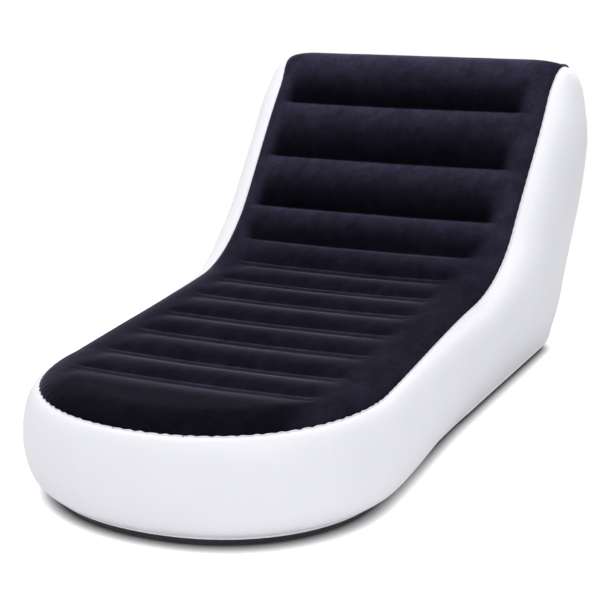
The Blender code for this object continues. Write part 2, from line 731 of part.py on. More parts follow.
def cap_strap(look):
    strap = block((-STRAP_WIDTH / 2, -STRAP_END, CAP_LOW), (STRAP_WIDTH / 2, -CAP_CUT - GAP, CAP_LOW + STRAP_T))
    made = set_on_valve(strap, "cap_strap", look)
    combine(made, rod(STUD_R + EYE_CLEARANCE, -STUD_AT, RIM_TOP, VALVE_OUT), "DIFFERENCE")


def insert_leash(look):
    """A ring loose on the base's collar, with a strap that hooks round to the insert's rim."""
    inner = COLLAR_R + GAP
    outer = inner + RING_WALL
    made = set_on_valve(turned([(inner, RING_LOW), (inner, RING_HIGH), (outer, RING_HIGH), (outer, RING_LOW)]),
                        "insert_leash", look)
    start, hook, far = outer - BITE, RIM_R + GAP, LEASH_OUT
    outline = [(start, RING_LOW), (far, RING_LOW), (far, LEASH_TOP), (hook, LEASH_TOP), (hook, LEASH_TOP - LEASH_T),
               (far - LEASH_T, LEASH_TOP - LEASH_T), (far - LEASH_T, RING_LOW + LEASH_T), (start, RING_LOW + LEASH_T)]
    bm = bmesh.new()
    side = bm.faces.new([bm.verts.new((-LEASH_WIDTH / 2, y, z)) for y, z in outline])
    grown = bmesh.ops.extrude_face_region(bm, geom=[side])["geom"]
    moved = [part for part in grown if isinstance(part, bmesh.types.BMVert)]
    bmesh.ops.translate(bm, verts=moved, vec=(LEASH_WIDTH, 0, 0))
    bmesh.ops.recalc_face_normals(bm, faces=bm.faces)
    combine(made, bm, "UNION")


FLOCK = material("dark_flock", (0.012, 0.011, 0.022), 0.95)
WHITE = material("white_vinyl", (0.86, 0.86, 0.9), 0.42)
DARK = material("dark_vinyl", (0.02, 0.02, 0.028), 0.5)
WEB = material("clear_vinyl", (0.55, 0.57, 0.6), 0.4)
VALVE = material("valve_plastic", (0.78, 0.79, 0.82), 0.35)
SOFT = material("soft_plastic", (0.7, 0.71, 0.74), 0.5)

bend_run = TOP.runs[SIDE_START + SIDE_STEPS[0]]
valve_run = HEEL_RUN + VALVE_RISE
sheet("top_sheet", TOP, None, TOP.tip, lambda s: SEAT_ROW if s < bend_run else BACK_ROW, FLOCK)
side_wall(WHITE)
sheet("bottom_sheet", BASE, None, HEEL_RUN, lambda s: FLOOR_ROW, DARK)
back = sheet("back_sheet", BASE, HEEL_RUN, BASE.tip, lambda s: REAR_ROW, DARK,
             (valve_run - PAD_HALF, valve_run + PAD_HALF))
combine(back, rod(COLLAR_R + HOLE_CLEARANCE, 0, -COLLAR_IN, COLLAR_IN), "DIFFERENCE")
beam_names = [f"seat_beam_{k + 1}" for k in range(len(SEAT_WELD_SHARES))] + ["bend_beam"]
beam_names += [f"back_beam_{k + 1}" for k in range(len(BACK_WELD_SHARES))]
for beam_name, upper_weld, lower_weld in zip(beam_names, TOP.welds, BASE.welds):
    beam(beam_name, upper_weld, lower_weld, WEB)
valve_base(VALVE)
valve_insert(VALVE)
valve_flap(SOFT)
valve_cap(VALVE)
cap_strap(SOFT)
insert_leash(SOFT)
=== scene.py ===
"""Looks of the inflatable chaise lounge: the pumped-up sheets with their welds, puckers and seam lips,
the valve, the materials, and a plain studio. Metres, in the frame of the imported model."""

import bisect
import json
import math
from collections import namedtuple

import bmesh
import bpy
from mathutils import Matrix, Vector, noise


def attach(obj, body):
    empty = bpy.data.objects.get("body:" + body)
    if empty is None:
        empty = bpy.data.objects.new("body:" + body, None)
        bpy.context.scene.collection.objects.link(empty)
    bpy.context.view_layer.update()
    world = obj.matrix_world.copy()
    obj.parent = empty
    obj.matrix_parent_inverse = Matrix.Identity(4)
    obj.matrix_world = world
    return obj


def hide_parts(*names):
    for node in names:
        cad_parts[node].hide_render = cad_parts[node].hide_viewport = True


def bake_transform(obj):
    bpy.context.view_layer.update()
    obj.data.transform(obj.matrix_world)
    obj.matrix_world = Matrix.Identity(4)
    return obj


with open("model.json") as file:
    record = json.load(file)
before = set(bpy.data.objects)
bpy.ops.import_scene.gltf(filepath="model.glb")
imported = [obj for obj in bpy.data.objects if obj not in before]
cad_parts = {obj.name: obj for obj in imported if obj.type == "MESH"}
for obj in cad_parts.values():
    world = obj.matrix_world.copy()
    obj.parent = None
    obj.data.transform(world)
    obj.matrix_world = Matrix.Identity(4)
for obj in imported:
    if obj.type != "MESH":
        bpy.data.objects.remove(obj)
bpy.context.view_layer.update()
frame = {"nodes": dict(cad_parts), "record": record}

MM = 0.001

# Overall size, pumped up, with the valve
LENGTH = 1660 * MM
WIDTH = 917 * MM
HEIGHT = 781 * MM

# Side outline, along the seams
FOOT_RUN = 356 * MM
FOOT_HEIGHT = 227.5 * MM
SEAT_SLOPE = math.radians(4.5)
BEND_RADIUS = 407 * MM
BACK_ANGLE = math.radians(49.4)
TOP_RADIUS = 75 * MM
HEEL_RADIUS = 92 * MM
BASE_HEIGHT = 21 * MM
TOE_INSET = 21 * MM
BASE_INSET = 6 * MM
TIP_ANGLE = math.radians(55)
TIP_RUNG = 5 * MM

# Plan: a superellipse round the foot, then a slight waist
FOOT_POWER = 2.12
FOOT_IN = 13 * MM
WAIST_IN = 20 * MM
BEND_IN = 8 * MM
TIP_IN = 3 * MM
TIP_FLARE = 18 * MM
FLARE_RUN = 170 * MM
WIDTH_SHARES = (0.0, 0.33, 0.6, 0.85, 1.0)

# Side wall: how far it swells past its seams, along the wall
TOE_BULGE = 34 * MM
SHOULDER_BULGE = 50 * MM
WAIST_BULGE = 46 * MM
SEAT_BULGE = 48 * MM
BEND_BULGE = 74 * MM
BACK_BULGE = 85.5 * MM
BULGE_SHARES = (-0.35, 0.0, 0.22, 0.42, 0.6, 0.8)
TAPER_RUN = 240 * MM
TAPER_POWER = 1.25
FULL_CHORD = 200 * MM
WALL_POWER = 0.475
HEM_SHARE = 0.035

# The swell's lean: low round the foot where above 0, close under the top seam at the bend where below 0
LEANS = (0.155, -0.82, 0.06)
LEAN_SHARES = (0.0, 0.5, 0.85)
REACH_SHARES = (0.0, 0.1, 0.3, 0.5, 0.7, 0.9, 1.0)

# Sheets, seam lips and the welds across the channels
SHEET = 0.5 * MM
GAP = 0.3 * MM
LIP = 3.4 * MM
TOP_LIP_RISES = (math.radians(65), math.radians(95))
BASE_LIP_DROPS = (math.radians(35), math.radians(45))
TIP_LIP_RUN = 80 * MM
TIP_LIP = 0.05
FIN = 6 * MM
SEAT_WELD_SHARES = (0.1275, 0.199, 0.274, 0.344, 0.4175, 0.4865)
BEND_WELD_SHARE = 0.5575
BACK_WELD_SHARES = (0.6205, 0.689, 0.775, 0.8695)
FLOOR_WELD_SHARES = (0.111, 0.207, 0.304, 0.4, 0.484, 0.564, 0.721, 0.896)
REAR_WELD_SHARES = (0.294, 0.493, 0.707)
WELD_WIDTH = 22 * MM
WELD_HALF = 300 * MM
BACK_WELD_HALF = 350 * MM
WELD_MARGIN = 24 * MM
TOP_EDGE_RUN = 75 * MM
CREST_EDGE_RUN = 85 * MM
NARROW_RUN = 200 * MM
BASE_EDGE_RUN = 18 * MM
BASE_EDGE_POWER = 0.5
WELD_FADE = 45 * MM
BORDER_SHARE = 0.2
CROWN_FADE = 80 * MM
BACK_STRIP = 4 * MM
TOP_LIFT = 26 * MM
TOP_SAG = 5 * MM
SEAT_CROWN = 6 * MM
BACK_CROWN = 22 * MM
CREST_CROWN = -11 * MM
CREST_FALL = 240 * MM
CREST_RUN = 60 * MM
END_CHANNEL = 70 * MM
FLOOR_GROOVE = 5 * MM
REAR_GROOVE = 10 * MM
GROOVE_RUN = 45 * MM
CROWN_POWERS = (1.0, 0.8)
EDGE_POWER = 0.52

# Fine shape: weld beads, gathers along the seams, short folds at the weld ends
BEAD = 0.5 * MM
BEAD_WIDTH = 1.6 * MM
GATHER_PITCH = 24 * MM
GATHER_DRIFT = 70 * MM
GATHER_TURN = 1.6
GATHER_STRENGTH = 0.85
GATHER_SPREAD = 0.4
GATHER_SEEDS = (1.7, 5.2)
SEAM_WAVE = 1.2 * MM
PUCKER = 0.5 * MM
PUCKER_RUN = 6 * MM
LIP_WAVE = 0.7 * MM
BASE_WAVE = 0.15
FOLD = 0.5 * MM
FOLD_RUN = 38 * MM
FOLD_SPREAD = 24 * MM
FOLD_AT = 4 * MM
FOLD_OPEN = 0.6
FOLD_TURNS = (7, 9)
FOLD_SEEDS = (3.1, 8.4)
RIPPLE = 0.5 * MM
RIPPLE_PITCH = 70 * MM

# Light and shade painted into the flock's colour, from 0, dark, to 1, pale: on the seat's channels and on
# the back's, and along the border
PAINTED_LIGHT_LOWS = (0.2, 0.0)
PAINTED_LIGHT_HIGHS = (0.52, 1.2)
PAINTED_LIGHT_STARTS = (0.2, 0.0)
PAINTED_LIGHT_ENDS = (0.95, 1.0)
# Painted shade in the fold just before each seat weld
PAINTED_SHADE_DIP = 0.25
# The foot's pad: painted light rising towards the first weld, and painted shade just before it
PAD_PAINTED_LIGHT = (0.1, 0.14)
PAD_PAINTED_SHADE_DIP = 0.1
# The crest's painted light: dark low down, pale at its top
CREST_PAINTED_LIGHT = (0.0, 2.0)
PAINTED_LIGHT_FULL = 2.0
# Painted light along the border past the welds' ends, on the seat and on the back
BORDER_PAINTED_LIGHT = (0.4, 0.75)
# Painted light on a weld strip: near edge, middle, and a pale painted highlight line at its far edge
STRIP_PAINTED_LIGHT = (0.3, 0.3, 1.1)
TAB_SHARE = 0.9
WEB_COLUMNS = 24

# Mesh density
FOOT_STEPS = 60
SIDE_STEPS = (60, 60, 45, 24)
HEEL_STEPS = 24
CORNER_STATION = 30
CAP_ROWS = 26
CAP_POWER = 1.6
STRIP_SHARES = (-1.0, -0.8, -0.6, -0.2, 0.2, 0.6, 0.8, 1.0)
ROW = 9 * MM
FLOOR_ROW = 16 * MM
COLUMNS = 52
COLUMN_POWER = 1.5
LIP_COLUMNS = 2
WALL_ROWS = 44
MERGE = 0.01 * MM

# Valve, on the back sheet
VALVE_SHARE = 0.142
VALVE_OUT = 7.8 * MM
PAD_HALF = 36 * MM
PAD_FADE = 20 * MM
COLLAR_HOLE = 17.4 * MM
VALVE_STEPS = 120
ROUND = 0.3 * MM
FLANGE_R = 28 * MM
FLANGE_T = 0.8 * MM
RING_GROOVES = (20.5 * MM, 23 * MM, 25.5 * MM)
RING_DEPTH = 0.25 * MM
COLLAR_R = 17 * MM
COLLAR_OUT = 3.2 * MM
COLLAR_IN = 9.5 * MM
SCREW_R = 13.2 * MM
SCREW_CLEARANCE = 0.3 * MM
SCREW_IN = 9 * MM
THREAD = 0.25 * MM
THREAD_PITCH = 4 * MM
THREAD_START = 1.5 * MM
THREAD_ROWS = 40
BORE_R = 9.5 * MM
SEAT_R = 7 * MM
SEAT_T = 1.5 * MM
RIM_R = 19 * MM
RIM_T = 2.5 * MM
RIM_FLUTE = 0.7 * MM
FLUTES = 24
STUD_R = 1.2 * MM
STUD_AT = 16 * MM
STUD_RISE = 0.5 * MM
STUD_HEAD = 1.7 * MM
FLAP_R = 8.6 * MM
FLAP_T = 0.8 * MM
FLAP_CUT = 7.8 * MM
LEDGE_OUT = 2.6 * MM
LEDGE_WIDTH = 9 * MM
LEDGE_DEPTH = 2 * MM
CAP_R = 12.8 * MM
CAP_CUT = 12.2 * MM
CAP_DISH = 0.5 * MM
CAP_DISH_R = 9.5 * MM
PLUG_R = 9 * MM
PLUG_IN = 1.5 * MM
PLUG_WALL = 1.2 * MM
TAB_OUT = 4 * MM
TAB_WIDTH = 6 * MM
TAB_T = 1 * MM
TAB_RIBS = 3
RIB = 0.4 * MM
STRAP_WIDTH = 5 * MM
STRAP_T = 0.8 * MM
STRAP_END = 18 * MM
STRAP_FREE = 14 * MM
EYE_CLEARANCE = 0.3 * MM
RING_WALL = 1.7 * MM
RING_LOW = 1.8 * MM
RING_HIGH = 3.2 * MM
LEASH_OUT = 24 * MM
LEASH_TOP = 5.2 * MM
LEASH_T = 1 * MM
LEASH_WIDTH = 6 * MM
BITE = 0.5 * MM
RIDGE_POWER = 8
STRAP_SLICES = 8
LEASH_SLICES = 6
BEVEL_STEPS = 2
BEVEL_FROM = math.radians(35)

# Studio
SKY_COLOUR = (0.96, 0.97, 1.0, 1)
SKY_STRENGTH = 0.46
FLOOR_RADIUS = 14
FLOOR_TONE = 0.9
FLOOR_GLOW = 0.5
# Painted contact shadow on the floor: the occlusion's reach, its shares and the darkest painted tone
CONTACT_REACH = 0.035
CONTACT_SHARES = (0.2, 0.8)
CONTACT_PAINTED_SHADE = 0.35
FLOOR_FADE = (1.1, 2.0)

# Lamps: place, size, watts and the point they face
LAMPS = {"key": ((-1.6, -1.4, 3.4), 2.6, 48, (0, 0, 0.3)),
         "overhead": ((0.4, 0.6, 3.8), 3.2, 43, (0, 0.1, 0.3)),
         "front": ((2.2, -3.2, 2.0), 2.4, 41, (0, -0.2, 0.3)),
         "behind": ((0.6, 3.4, 2.4), 2.6, 24, (0, 0.2, 0.4))}

# Camera: place, then yaw, pitch down and roll
CAMERA_AT = (1.3617, -2.9678, 1.1422)
CAMERA_TURNS = (24.932, 14.918, -0.5755)
LENS = 86.01
SENSOR = 36


def clamp(share):
    return min(max(share, 0.0), 1.0)


def smooth(share):
    t = clamp(share)
    return t * t * (3 - 2 * t)


def eased(place, places, values):
    """A value read along a line, level at each named place."""
    for low, high, first, last in zip(places, places[1:], values, values[1:]):
        if place <= high:
            return first + (last - first) * smooth((place - low) / (high - low))
    return values[-1]


def rounded(share, power):
    """Rises from 0 to 1 like the flank of a blown-up tube."""
    return (1 - (1 - clamp(share)) ** 2) ** power


def swell(v, lean):
    upright = 1 - math.exp((v - 1) / HEM_SHARE)
    return max(4 * v * (1 - v), 0.0) ** WALL_POWER * upright * (1 + lean * (2 * v - 1))


def reach(bulge, lean, inset):
    """How far the wall's outer face stands out past its top seam."""
    return max(bulge * swell(v, lean) - inset * v for v in REACH_SHARES) + SHEET / 2


def crest_lift(run):
    """Height of the top sheet over the plane of its seams, at a run short of the tip."""
    crown = eased(run, (0, CREST_FALL), (CREST_CROWN, BACK_CROWN))
    return (TOP_LIFT + crown) * rounded(run / CREST_RUN, EDGE_POWER)


# Points of the side outline
TIP_Y = -LENGTH / 2 + reach(TOE_BULGE, LEANS[0], TOE_INSET)
FOOT_Y = TIP_Y + FOOT_RUN
PAD_Y = LENGTH / 2 - VALVE_OUT
REAR_Y = PAD_Y - BASE_HEIGHT
CREST_TOP = max((TOP_RADIUS + crest_lift(TOP_RADIUS * turn)) * math.sin(TIP_ANGLE + turn)
                for turn in map(math.radians, range(0, 90, 5)))
TOP_Z = HEIGHT - (CREST_TOP - TOP_RADIUS) - SHEET / 2
BACK_HALF = WIDTH / 2 - reach(BACK_BULGE, LEANS[-1], BASE_INSET)
HALF_WIDTHS = (BACK_HALF - FOOT_IN, BACK_HALF - WAIST_IN, BACK_HALF - BEND_IN, BACK_HALF, BACK_HALF - TIP_IN)
BULGES = (TOE_BULGE, SHOULDER_BULGE, WAIST_BULGE, SEAT_BULGE, BEND_BULGE, BACK_BULGE)

Point = namedtuple("Point", "y z normal")
Station = namedtuple("Station", "top base out up down")


def arc(centre_y, centre_z, radius, start, end, steps):
    """Points of an arc in the side view, with normals away from its centre."""
    turned = [start + (end - start) * k / steps for k in range(steps + 1)]
    return [Point(centre_y + radius * math.cos(t), centre_z + radius * math.sin(t),
                  Vector((0, math.cos(t), math.sin(t)))) for t in turned]


def line(first, last, steps, normal):
    return [Point(first[0] + (last[0] - first[0]) * k / steps,
                  first[1] + (last[1] - first[1]) * k / steps, normal) for k in range(steps + 1)]


def side_curves():
    """Front curve over seat and back, and rear curve over floor and heel, matched point for point."""
    slope, back = SEAT_SLOPE, BACK_ANGLE
    slope_sin, slope_cos = math.sin(slope), math.cos(slope)
    back_sin, back_cos = math.sin(back), math.cos(back)
    below = Vector((0, 0, -1))
    seat_steps, bend_steps, back_steps, top_steps = SIDE_STEPS
    middle = (REAR_Y - TOP_RADIUS, TOP_Z - TOP_RADIUS)
    on_back = (middle[0] - TOP_RADIUS * back_sin, middle[1] + TOP_RADIUS * back_cos)
    rise = on_back[1] - FOOT_HEIGHT - (on_back[0] - FOOT_Y) * math.tan(slope)
    down = rise / (back_sin - back_cos * math.tan(slope))
    corner = (on_back[0] - down * back_cos, on_back[1] - down * back_sin)
    tangent = BEND_RADIUS * math.tan((back - slope) / 2)
    bend_start = (corner[0] - tangent * slope_cos, corner[1] - tangent * slope_sin)
    bend_middle = (bend_start[0] - BEND_RADIUS * slope_sin, bend_start[1] + BEND_RADIUS * slope_cos)
    quarter = math.pi / 2
    half_rung = TIP_RUNG / TOP_RADIUS / 2

    seat = line((FOOT_Y, FOOT_HEIGHT), bend_start, seat_steps, Vector((0, -slope_sin, slope_cos)))
    bend = [Point(p.y, p.z, -p.normal) for p in
            arc(*bend_middle, BEND_RADIUS, slope - quarter, back - quarter, bend_steps)]
    back_line = line((bend[-1].y, bend[-1].z), on_back, back_steps, Vector((0, -back_sin, back_cos)))
    crest = arc(*middle, TOP_RADIUS, back + quarter, TIP_ANGLE + half_rung, top_steps)
    front = seat + bend[1:] + back_line[1:] + crest[1:]

    floor = line((FOOT_Y, BASE_HEIGHT), (bend_start[0], BASE_HEIGHT), seat_steps, below)
    heel_y = REAR_Y - HEEL_RADIUS
    under = line((bend_start[0], BASE_HEIGHT), (heel_y, BASE_HEIGHT), bend_steps - HEEL_STEPS, below)
    heel = arc(heel_y, BASE_HEIGHT + HEEL_RADIUS, HEEL_RADIUS, -quarter, 0, HEEL_STEPS)
    rear = line((REAR_Y, BASE_HEIGHT + HEEL_RADIUS), (REAR_Y, middle[1]), back_steps, Vector((0, 1, 0)))
    nape = arc(*middle, TOP_RADIUS, 0, TIP_ANGLE - half_rung, top_steps)
    return front, floor + under[1:] + heel[1:] + rear[1:] + nape[1:]


def make_stations():
    """Seam stations of the +X side, from the middle of the foot to the tip at the top corner."""
    front, rear = side_curves()
    runs = [0.0]
    for a, b in zip(front, front[1:]):
        runs.append(runs[-1] + math.hypot(b.y - a.y, b.z - a.z))
    found = []
    power = 2 / FOOT_POWER
    half = HALF_WIDTHS[0]
    for k in range(FOOT_STEPS):
        turn = math.pi / 2 * (1 - k / FOOT_STEPS)
        c, s = (0.0, 1.0) if k == 0 else (math.cos(turn), math.sin(turn))
        top = Vector((half * c ** power, FOOT_Y - FOOT_RUN * s ** power, FOOT_HEIGHT))
        out = Vector((c ** (2 - power) / half, -s ** (2 - power) / FOOT_RUN, 0)).normalized()
        base = top - out * eased(k, (0, FOOT_STEPS), (TOE_INSET, BASE_INSET))
        base.z = BASE_HEIGHT
        found.append(Station(top, base, out, Vector((0, 0, 1)), Vector((0, 0, -1))))
    for a, b, run in zip(front, rear, runs):
        half = eased(run / runs[-1], WIDTH_SHARES, HALF_WIDTHS)
        half += eased(runs[-1] - run, (0, FLARE_RUN), (TIP_FLARE, 0.0))
        inset = BASE_INSET * clamp(math.hypot(a.y - b.y, a.z - b.z) / FULL_CHORD)
        top, base = Vector((half, a.y, a.z)), Vector((half - inset, b.y, b.z))
        found.append(Station(top, base, Vector((1, 0, 0)), a.normal, b.normal))
    return found


STATIONS = make_stations()
SIDE_START = FOOT_STEPS
BEND_STATION = SIDE_START + SIDE_STEPS[0]
HEEL_STATION = BEND_STATION + SIDE_STEPS[1]
CREST_STATION = HEEL_STATION + SIDE_STEPS[2]
SEAM_LENGTHS = [0.0]
for here, there in zip(STATIONS, STATIONS[1:]):
    SEAM_LENGTHS.append(SEAM_LENGTHS[-1] + (there.top - here.top).length)

# How much the sheets are gathered along the seam: most round the foot and at the top corners
GATHER_STATIONS = (FOOT_STEPS * 0.75, SIDE_START + 12, BEND_STATION, CREST_STATION - 8, CREST_STATION + 8)
GATHERS = (1.0, 0.25, 0.2, 0.35, 0.2)


def seam_length(station):
    k = min(int(station), len(SEAM_LENGTHS) - 2)
    return SEAM_LENGTHS[k] + (SEAM_LENGTHS[k + 1] - SEAM_LENGTHS[k]) * (station - k)


def seam_wave(station, right):
    """The gathers along a seam, from -1 to 1, uneven as welded sheets are. The two sides differ."""
    run = seam_length(station) * (1 if right else -1)
    drift = noise.noise(Vector((run / GATHER_DRIFT, GATHER_SEEDS[0], 0)))
    uneven = noise.noise(Vector((run / GATHER_DRIFT * 2, GATHER_SEEDS[1], 0)))
    strength = GATHER_STRENGTH + GATHER_SPREAD * uneven
    return math.cos(2 * math.pi * run / GATHER_PITCH + GATHER_TURN * drift) * strength * eased(
        station, GATHER_STATIONS, GATHERS)


def pucker(distance):
    """Fades a gather out over the sheet: nothing on the seam, most a little way in."""
    share = distance / PUCKER_RUN
    return share * math.exp(1 - share)


class Panel:
    """A sheet's surface over its seams: x runs across, s along its middle from the foot."""

    def __init__(self, upper):
        self.upper = upper
        self.points = [s.top if upper else s.base for s in STATIONS]
        self.normals = [s.up if upper else s.down for s in STATIONS]
        rises = TOP_LIP_RISES if upper else BASE_LIP_DROPS
        self.lips, self.sides = [], []
        for k, station in enumerate(STATIONS):
            rise = eased(k, (SIDE_START - CORNER_STATION, BEND_STATION), rises)
            normal = self.normals[k]
            self.lips.append(station.out * math.cos(rise) + normal * math.sin(rise))
            self.sides.append(normal * math.cos(rise) - station.out * math.sin(rise))
        self.runs = [p.y - self.points[0].y for p in self.points[:SIDE_START + 1]]
        for a, b in zip(self.points[SIDE_START:], self.points[SIDE_START + 1:]):
            self.runs.append(self.runs[-1] + math.hypot(b.y - a.y, b.z - a.z))
        self.tip = self.runs[-1] + TIP_RUNG / 2
        self.foot, self.bend, self.heel = (self.runs[k] for k in (SIDE_START, BEND_STATION, HEEL_STATION))
        self.lips = [lip * eased(self.tip - run, (0, TIP_LIP_RUN), (TIP_LIP, 1.0))
                     for lip, run in zip(self.lips, self.runs)]
        if upper:
            shares = (*SEAT_WELD_SHARES, BEND_WELD_SHARE, *BACK_WELD_SHARES)
            self.welds = [share * self.tip for share in shares]
        else:
            self.welds = [share * self.runs[HEEL_STATION - HEEL_STEPS] for share in FLOOR_WELD_SHARES]
            self.welds += [self.heel + share * (self.tip - self.heel) for share in REAR_WELD_SHARES]

    def between(self, s):
        """The station before a run, and the share of the way to the next one."""
        k = min(max(bisect.bisect_right(self.runs, s) - 1, 0), len(self.runs) - 2)
        return k, (s - self.runs[k]) / (self.runs[k + 1] - self.runs[k])

    def station(self, x, s):
        """The station, with its part, that a point of the sheet belongs to."""
        foot = self.foot
        if s >= foot:
            k, t = self.between(min(s, self.runs[-1]))
            return k + t
        ahead = (foot - s) / foot
        across = min(abs(x) / self.points[SIDE_START].x, 1)
        turn = math.atan2(ahead ** (FOOT_POWER / 2), across ** (FOOT_POWER / 2))
        return FOOT_STEPS * (1 - turn / (math.pi / 2))

    def at(self, station):
        """The seam's point, lip direction and side direction at a station with its part."""
        k = min(int(station), len(self.runs) - 2)
        return tuple(row[k].lerp(row[k + 1], station - k) for row in (self.points, self.lips, self.sides))

    def middle(self, s):
        """The middle line's point and normal."""
        if s < self.foot:
            start = self.points[0]
            return Vector((0, start.y + s, start.z)), self.normals[0]
        k, t = self.between(s)
        point = self.points[k].lerp(self.points[k + 1], t)
        point.x = 0
        return point, self.normals[k].lerp(self.normals[k + 1], t).normalized()

    def half(self, s):
        k, t = self.between(min(s, self.runs[-1]))
        return self.points[k].x + (self.points[k + 1].x - self.points[k].x) * t

    def nearest_weld(self, s):
        return min(self.welds, key=lambda weld: abs(s - weld))

    def weld_half(self, s):
        held = min(max(s, self.welds[0]), self.welds[-1])
        longest = WELD_HALF
        if self.upper:
            longest = eased(held, (self.welds[6], self.welds[8]), (WELD_HALF, BACK_WELD_HALF))
        return min(longest, self.half(held) - WELD_MARGIN)

    def edge_distance(self, x, s):
        """Distance from the seam, measured square to it."""
        foot = self.foot
        ahead = max(foot - s, 0.0) / foot
        half = self.half(max(s, foot))
        across = abs(x) / half
        level = (across ** FOOT_POWER + ahead ** FOOT_POWER) ** (1 / FOOT_POWER)
        if level == 0:
            return foot
        power = FOOT_POWER - 1
        slope = math.hypot((across / level) ** power / half, (ahead / level) ** power / foot)
        return max(1 - level, 0.0) / slope

    def edge_run(self, s):
        """How far in from the seam the sheet rises to its full height."""
        if not self.upper:
            return BASE_EDGE_RUN
        return eased(s, (self.tip - NARROW_RUN, self.tip), (TOP_EDGE_RUN, CREST_EDGE_RUN))

    def crown(self, s):
        """Height of a channel over the ends of its welds."""
        if not self.upper:
            return eased(s, (self.bend, self.heel), (FLOOR_GROOVE, REAR_GROOVE))
        return eased(s, (self.bend, self.heel, self.tip - CREST_FALL, self.tip),
                     (SEAT_CROWN, BACK_CROWN, BACK_CROWN, CREST_CROWN))

    def strip(self, s):
        """Half the width of the flat strip on a weld. The deep channels of the back close over theirs."""
        if not self.upper:
            return WELD_WIDTH / 2
        return eased(s, (self.welds[6], self.welds[7]), (WELD_WIDTH / 2, BACK_STRIP / 2))

    def rise(self, s, share):
        """0 on a weld, 1 at the top of a channel. The strip narrows as its share falls, towards its end."""
        margin = self.strip(s) * share
        distance = max(min(abs(s - weld) for weld in self.welds) - margin, 0.0)
        run = END_CHANNEL
        for low, high in zip(self.welds, self.welds[1:]):
            if low < s < high:
                run = (high - low) / 2 - margin
        if not self.upper:
            run = min(run, GROOVE_RUN)
        power = eased(s, (self.welds[6], self.welds[7]), CROWN_POWERS) if self.upper else CROWN_POWERS[0]
        return rounded(distance / run, power)

    def details(self, x, s):
        """Beads along the welds and short folds that fan out of their ends."""
        weld = self.nearest_weld(s)
        beyond, aside = abs(x) - self.weld_half(s), s - weld
        edge = (abs(aside) - self.strip(s)) / BEAD_WIDTH
        bead = BEAD * math.exp(-edge * edge) * smooth(-beyond / WELD_FADE)
        fan = math.atan2(aside / FOLD_SPREAD, beyond / FOLD_RUN + FOLD_OPEN)
        far = math.hypot((beyond - FOLD_AT) / FOLD_RUN, aside / FOLD_SPREAD)
        uneven = noise.noise(Vector((weld * 7, FOLD_SEEDS[0 if x > 0 else 1], 0)))
        turn = FOLD_TURNS[0] * fan + FOLD_TURNS[1] * uneven
        fold = FOLD * math.cos(turn) * math.exp(-2 * far * far) * clamp(far * 2)
        return bead + fold

    def height(self, x, s):
        """Height of the sheet over the plane of its seams."""
        crown = self.crown(s)
        weld = self.weld_half(s)
        inside = smooth((weld - abs(x)) / WELD_FADE)
        full = BASE_HEIGHT - SHEET / 2
        if self.upper:
            if crown > 0:
                crown *= BORDER_SHARE + (1 - BORDER_SHARE) * smooth((weld - abs(x)) / CROWN_FADE)
            full = TOP_LIFT + crown
        sag = TOP_SAG * (1 - min(abs(x) / weld, 1) ** 2) if self.upper else 0
        depth = (crown + sag) * inside * (1 - self.rise(s, inside))
        on_rear = not self.upper and s > self.heel
        pad = 0.0
        if on_rear:
            far = max(abs(x), abs(self.middle(s)[0].z - VALVE_Z)) - PAD_HALF
            depth *= clamp(far / PAD_FADE)
            pad = 1 - clamp(far / PAD_FADE)
        distance = self.edge_distance(x, s)
        edge = rounded(distance / self.edge_run(s), EDGE_POWER if self.upper else BASE_EDGE_POWER)
        tall = (full - depth) * edge
        if self.upper or on_rear:
            fine = self.details(x, s) + RIPPLE * noise.noise(Vector((x, s, 0.3)) / RIPPLE_PITCH)
            tall += fine * edge * (1 - pad)
            tall += PUCKER * seam_wave(self.station(x, s), x > 0) * pucker(distance)
        if self.upper:
            tall *= rounded((self.tip - s) / CREST_RUN, EDGE_POWER)
        return tall

    def pile_tone_and_painted_light(self, x, s):
        """Painted light and shade for the flock's colour: pale at a channel's far end, painted shade in the
        next fold, painted highlight lines on a weld.
        """
        on_back = smooth((s - self.bend) / (self.heel - self.bend))
        low_painted, high_painted, start, end, border = (
            a + (b - a) * on_back for a, b in (PAINTED_LIGHT_LOWS, PAINTED_LIGHT_HIGHS, PAINTED_LIGHT_STARTS, PAINTED_LIGHT_ENDS, BORDER_PAINTED_LIGHT))
        marks = [0.0, *self.welds, self.tip - TOP_RADIUS / 2]
        k = min(max(bisect.bisect_right(marks, s) - 1, 0), len(marks) - 2)
        share = (s - marks[k]) / (marks[k + 1] - marks[k])
        part = clamp((share - start) / (end - start))
        shade = low_painted + (high_painted - low_painted) * (smooth(part) * (1 - on_back) + part ** 2 * on_back)
        near_weld = smooth((share - 0.75) / 0.25)
        # Painted shade in the fold just before the next weld, on the seat's channels
        shade -= PAINTED_SHADE_DIP * (1 - on_back) * near_weld
        # The foot's pad: painted light rising towards the first weld, and painted shade just before it
        if k == 0:
            shade = PAD_PAINTED_LIGHT[0] + (PAD_PAINTED_LIGHT[1] - PAD_PAINTED_LIGHT[0]) * share - PAD_PAINTED_SHADE_DIP * near_weld
        # The crest's channel: painted dark low down and pale at its top
        if k == len(marks) - 2:
            shade = CREST_PAINTED_LIGHT[0] + (CREST_PAINTED_LIGHT[1] - CREST_PAINTED_LIGHT[0]) * clamp(share) ** 2
        # Painted highlight lines along the edges of a weld's strip
        weld = self.nearest_weld(s)
        across = (s - weld) / self.strip(s)
        if abs(across) < 1 + MERGE:
            near, middle, far = STRIP_PAINTED_LIGHT
            shade = middle + ((far if across > 0 else near) - middle) * smooth(abs(across) * 2 - 0.8)
        # Past the welds' ends, the border's painted light
        inside = smooth((self.weld_half(s) - abs(x)) / WELD_FADE)
        return border + (shade - border) * inside

    def point(self, x, s):
        middle, normal = self.middle(s)
        return middle + Vector((x, 0, 0)) + normal * self.height(x, s)


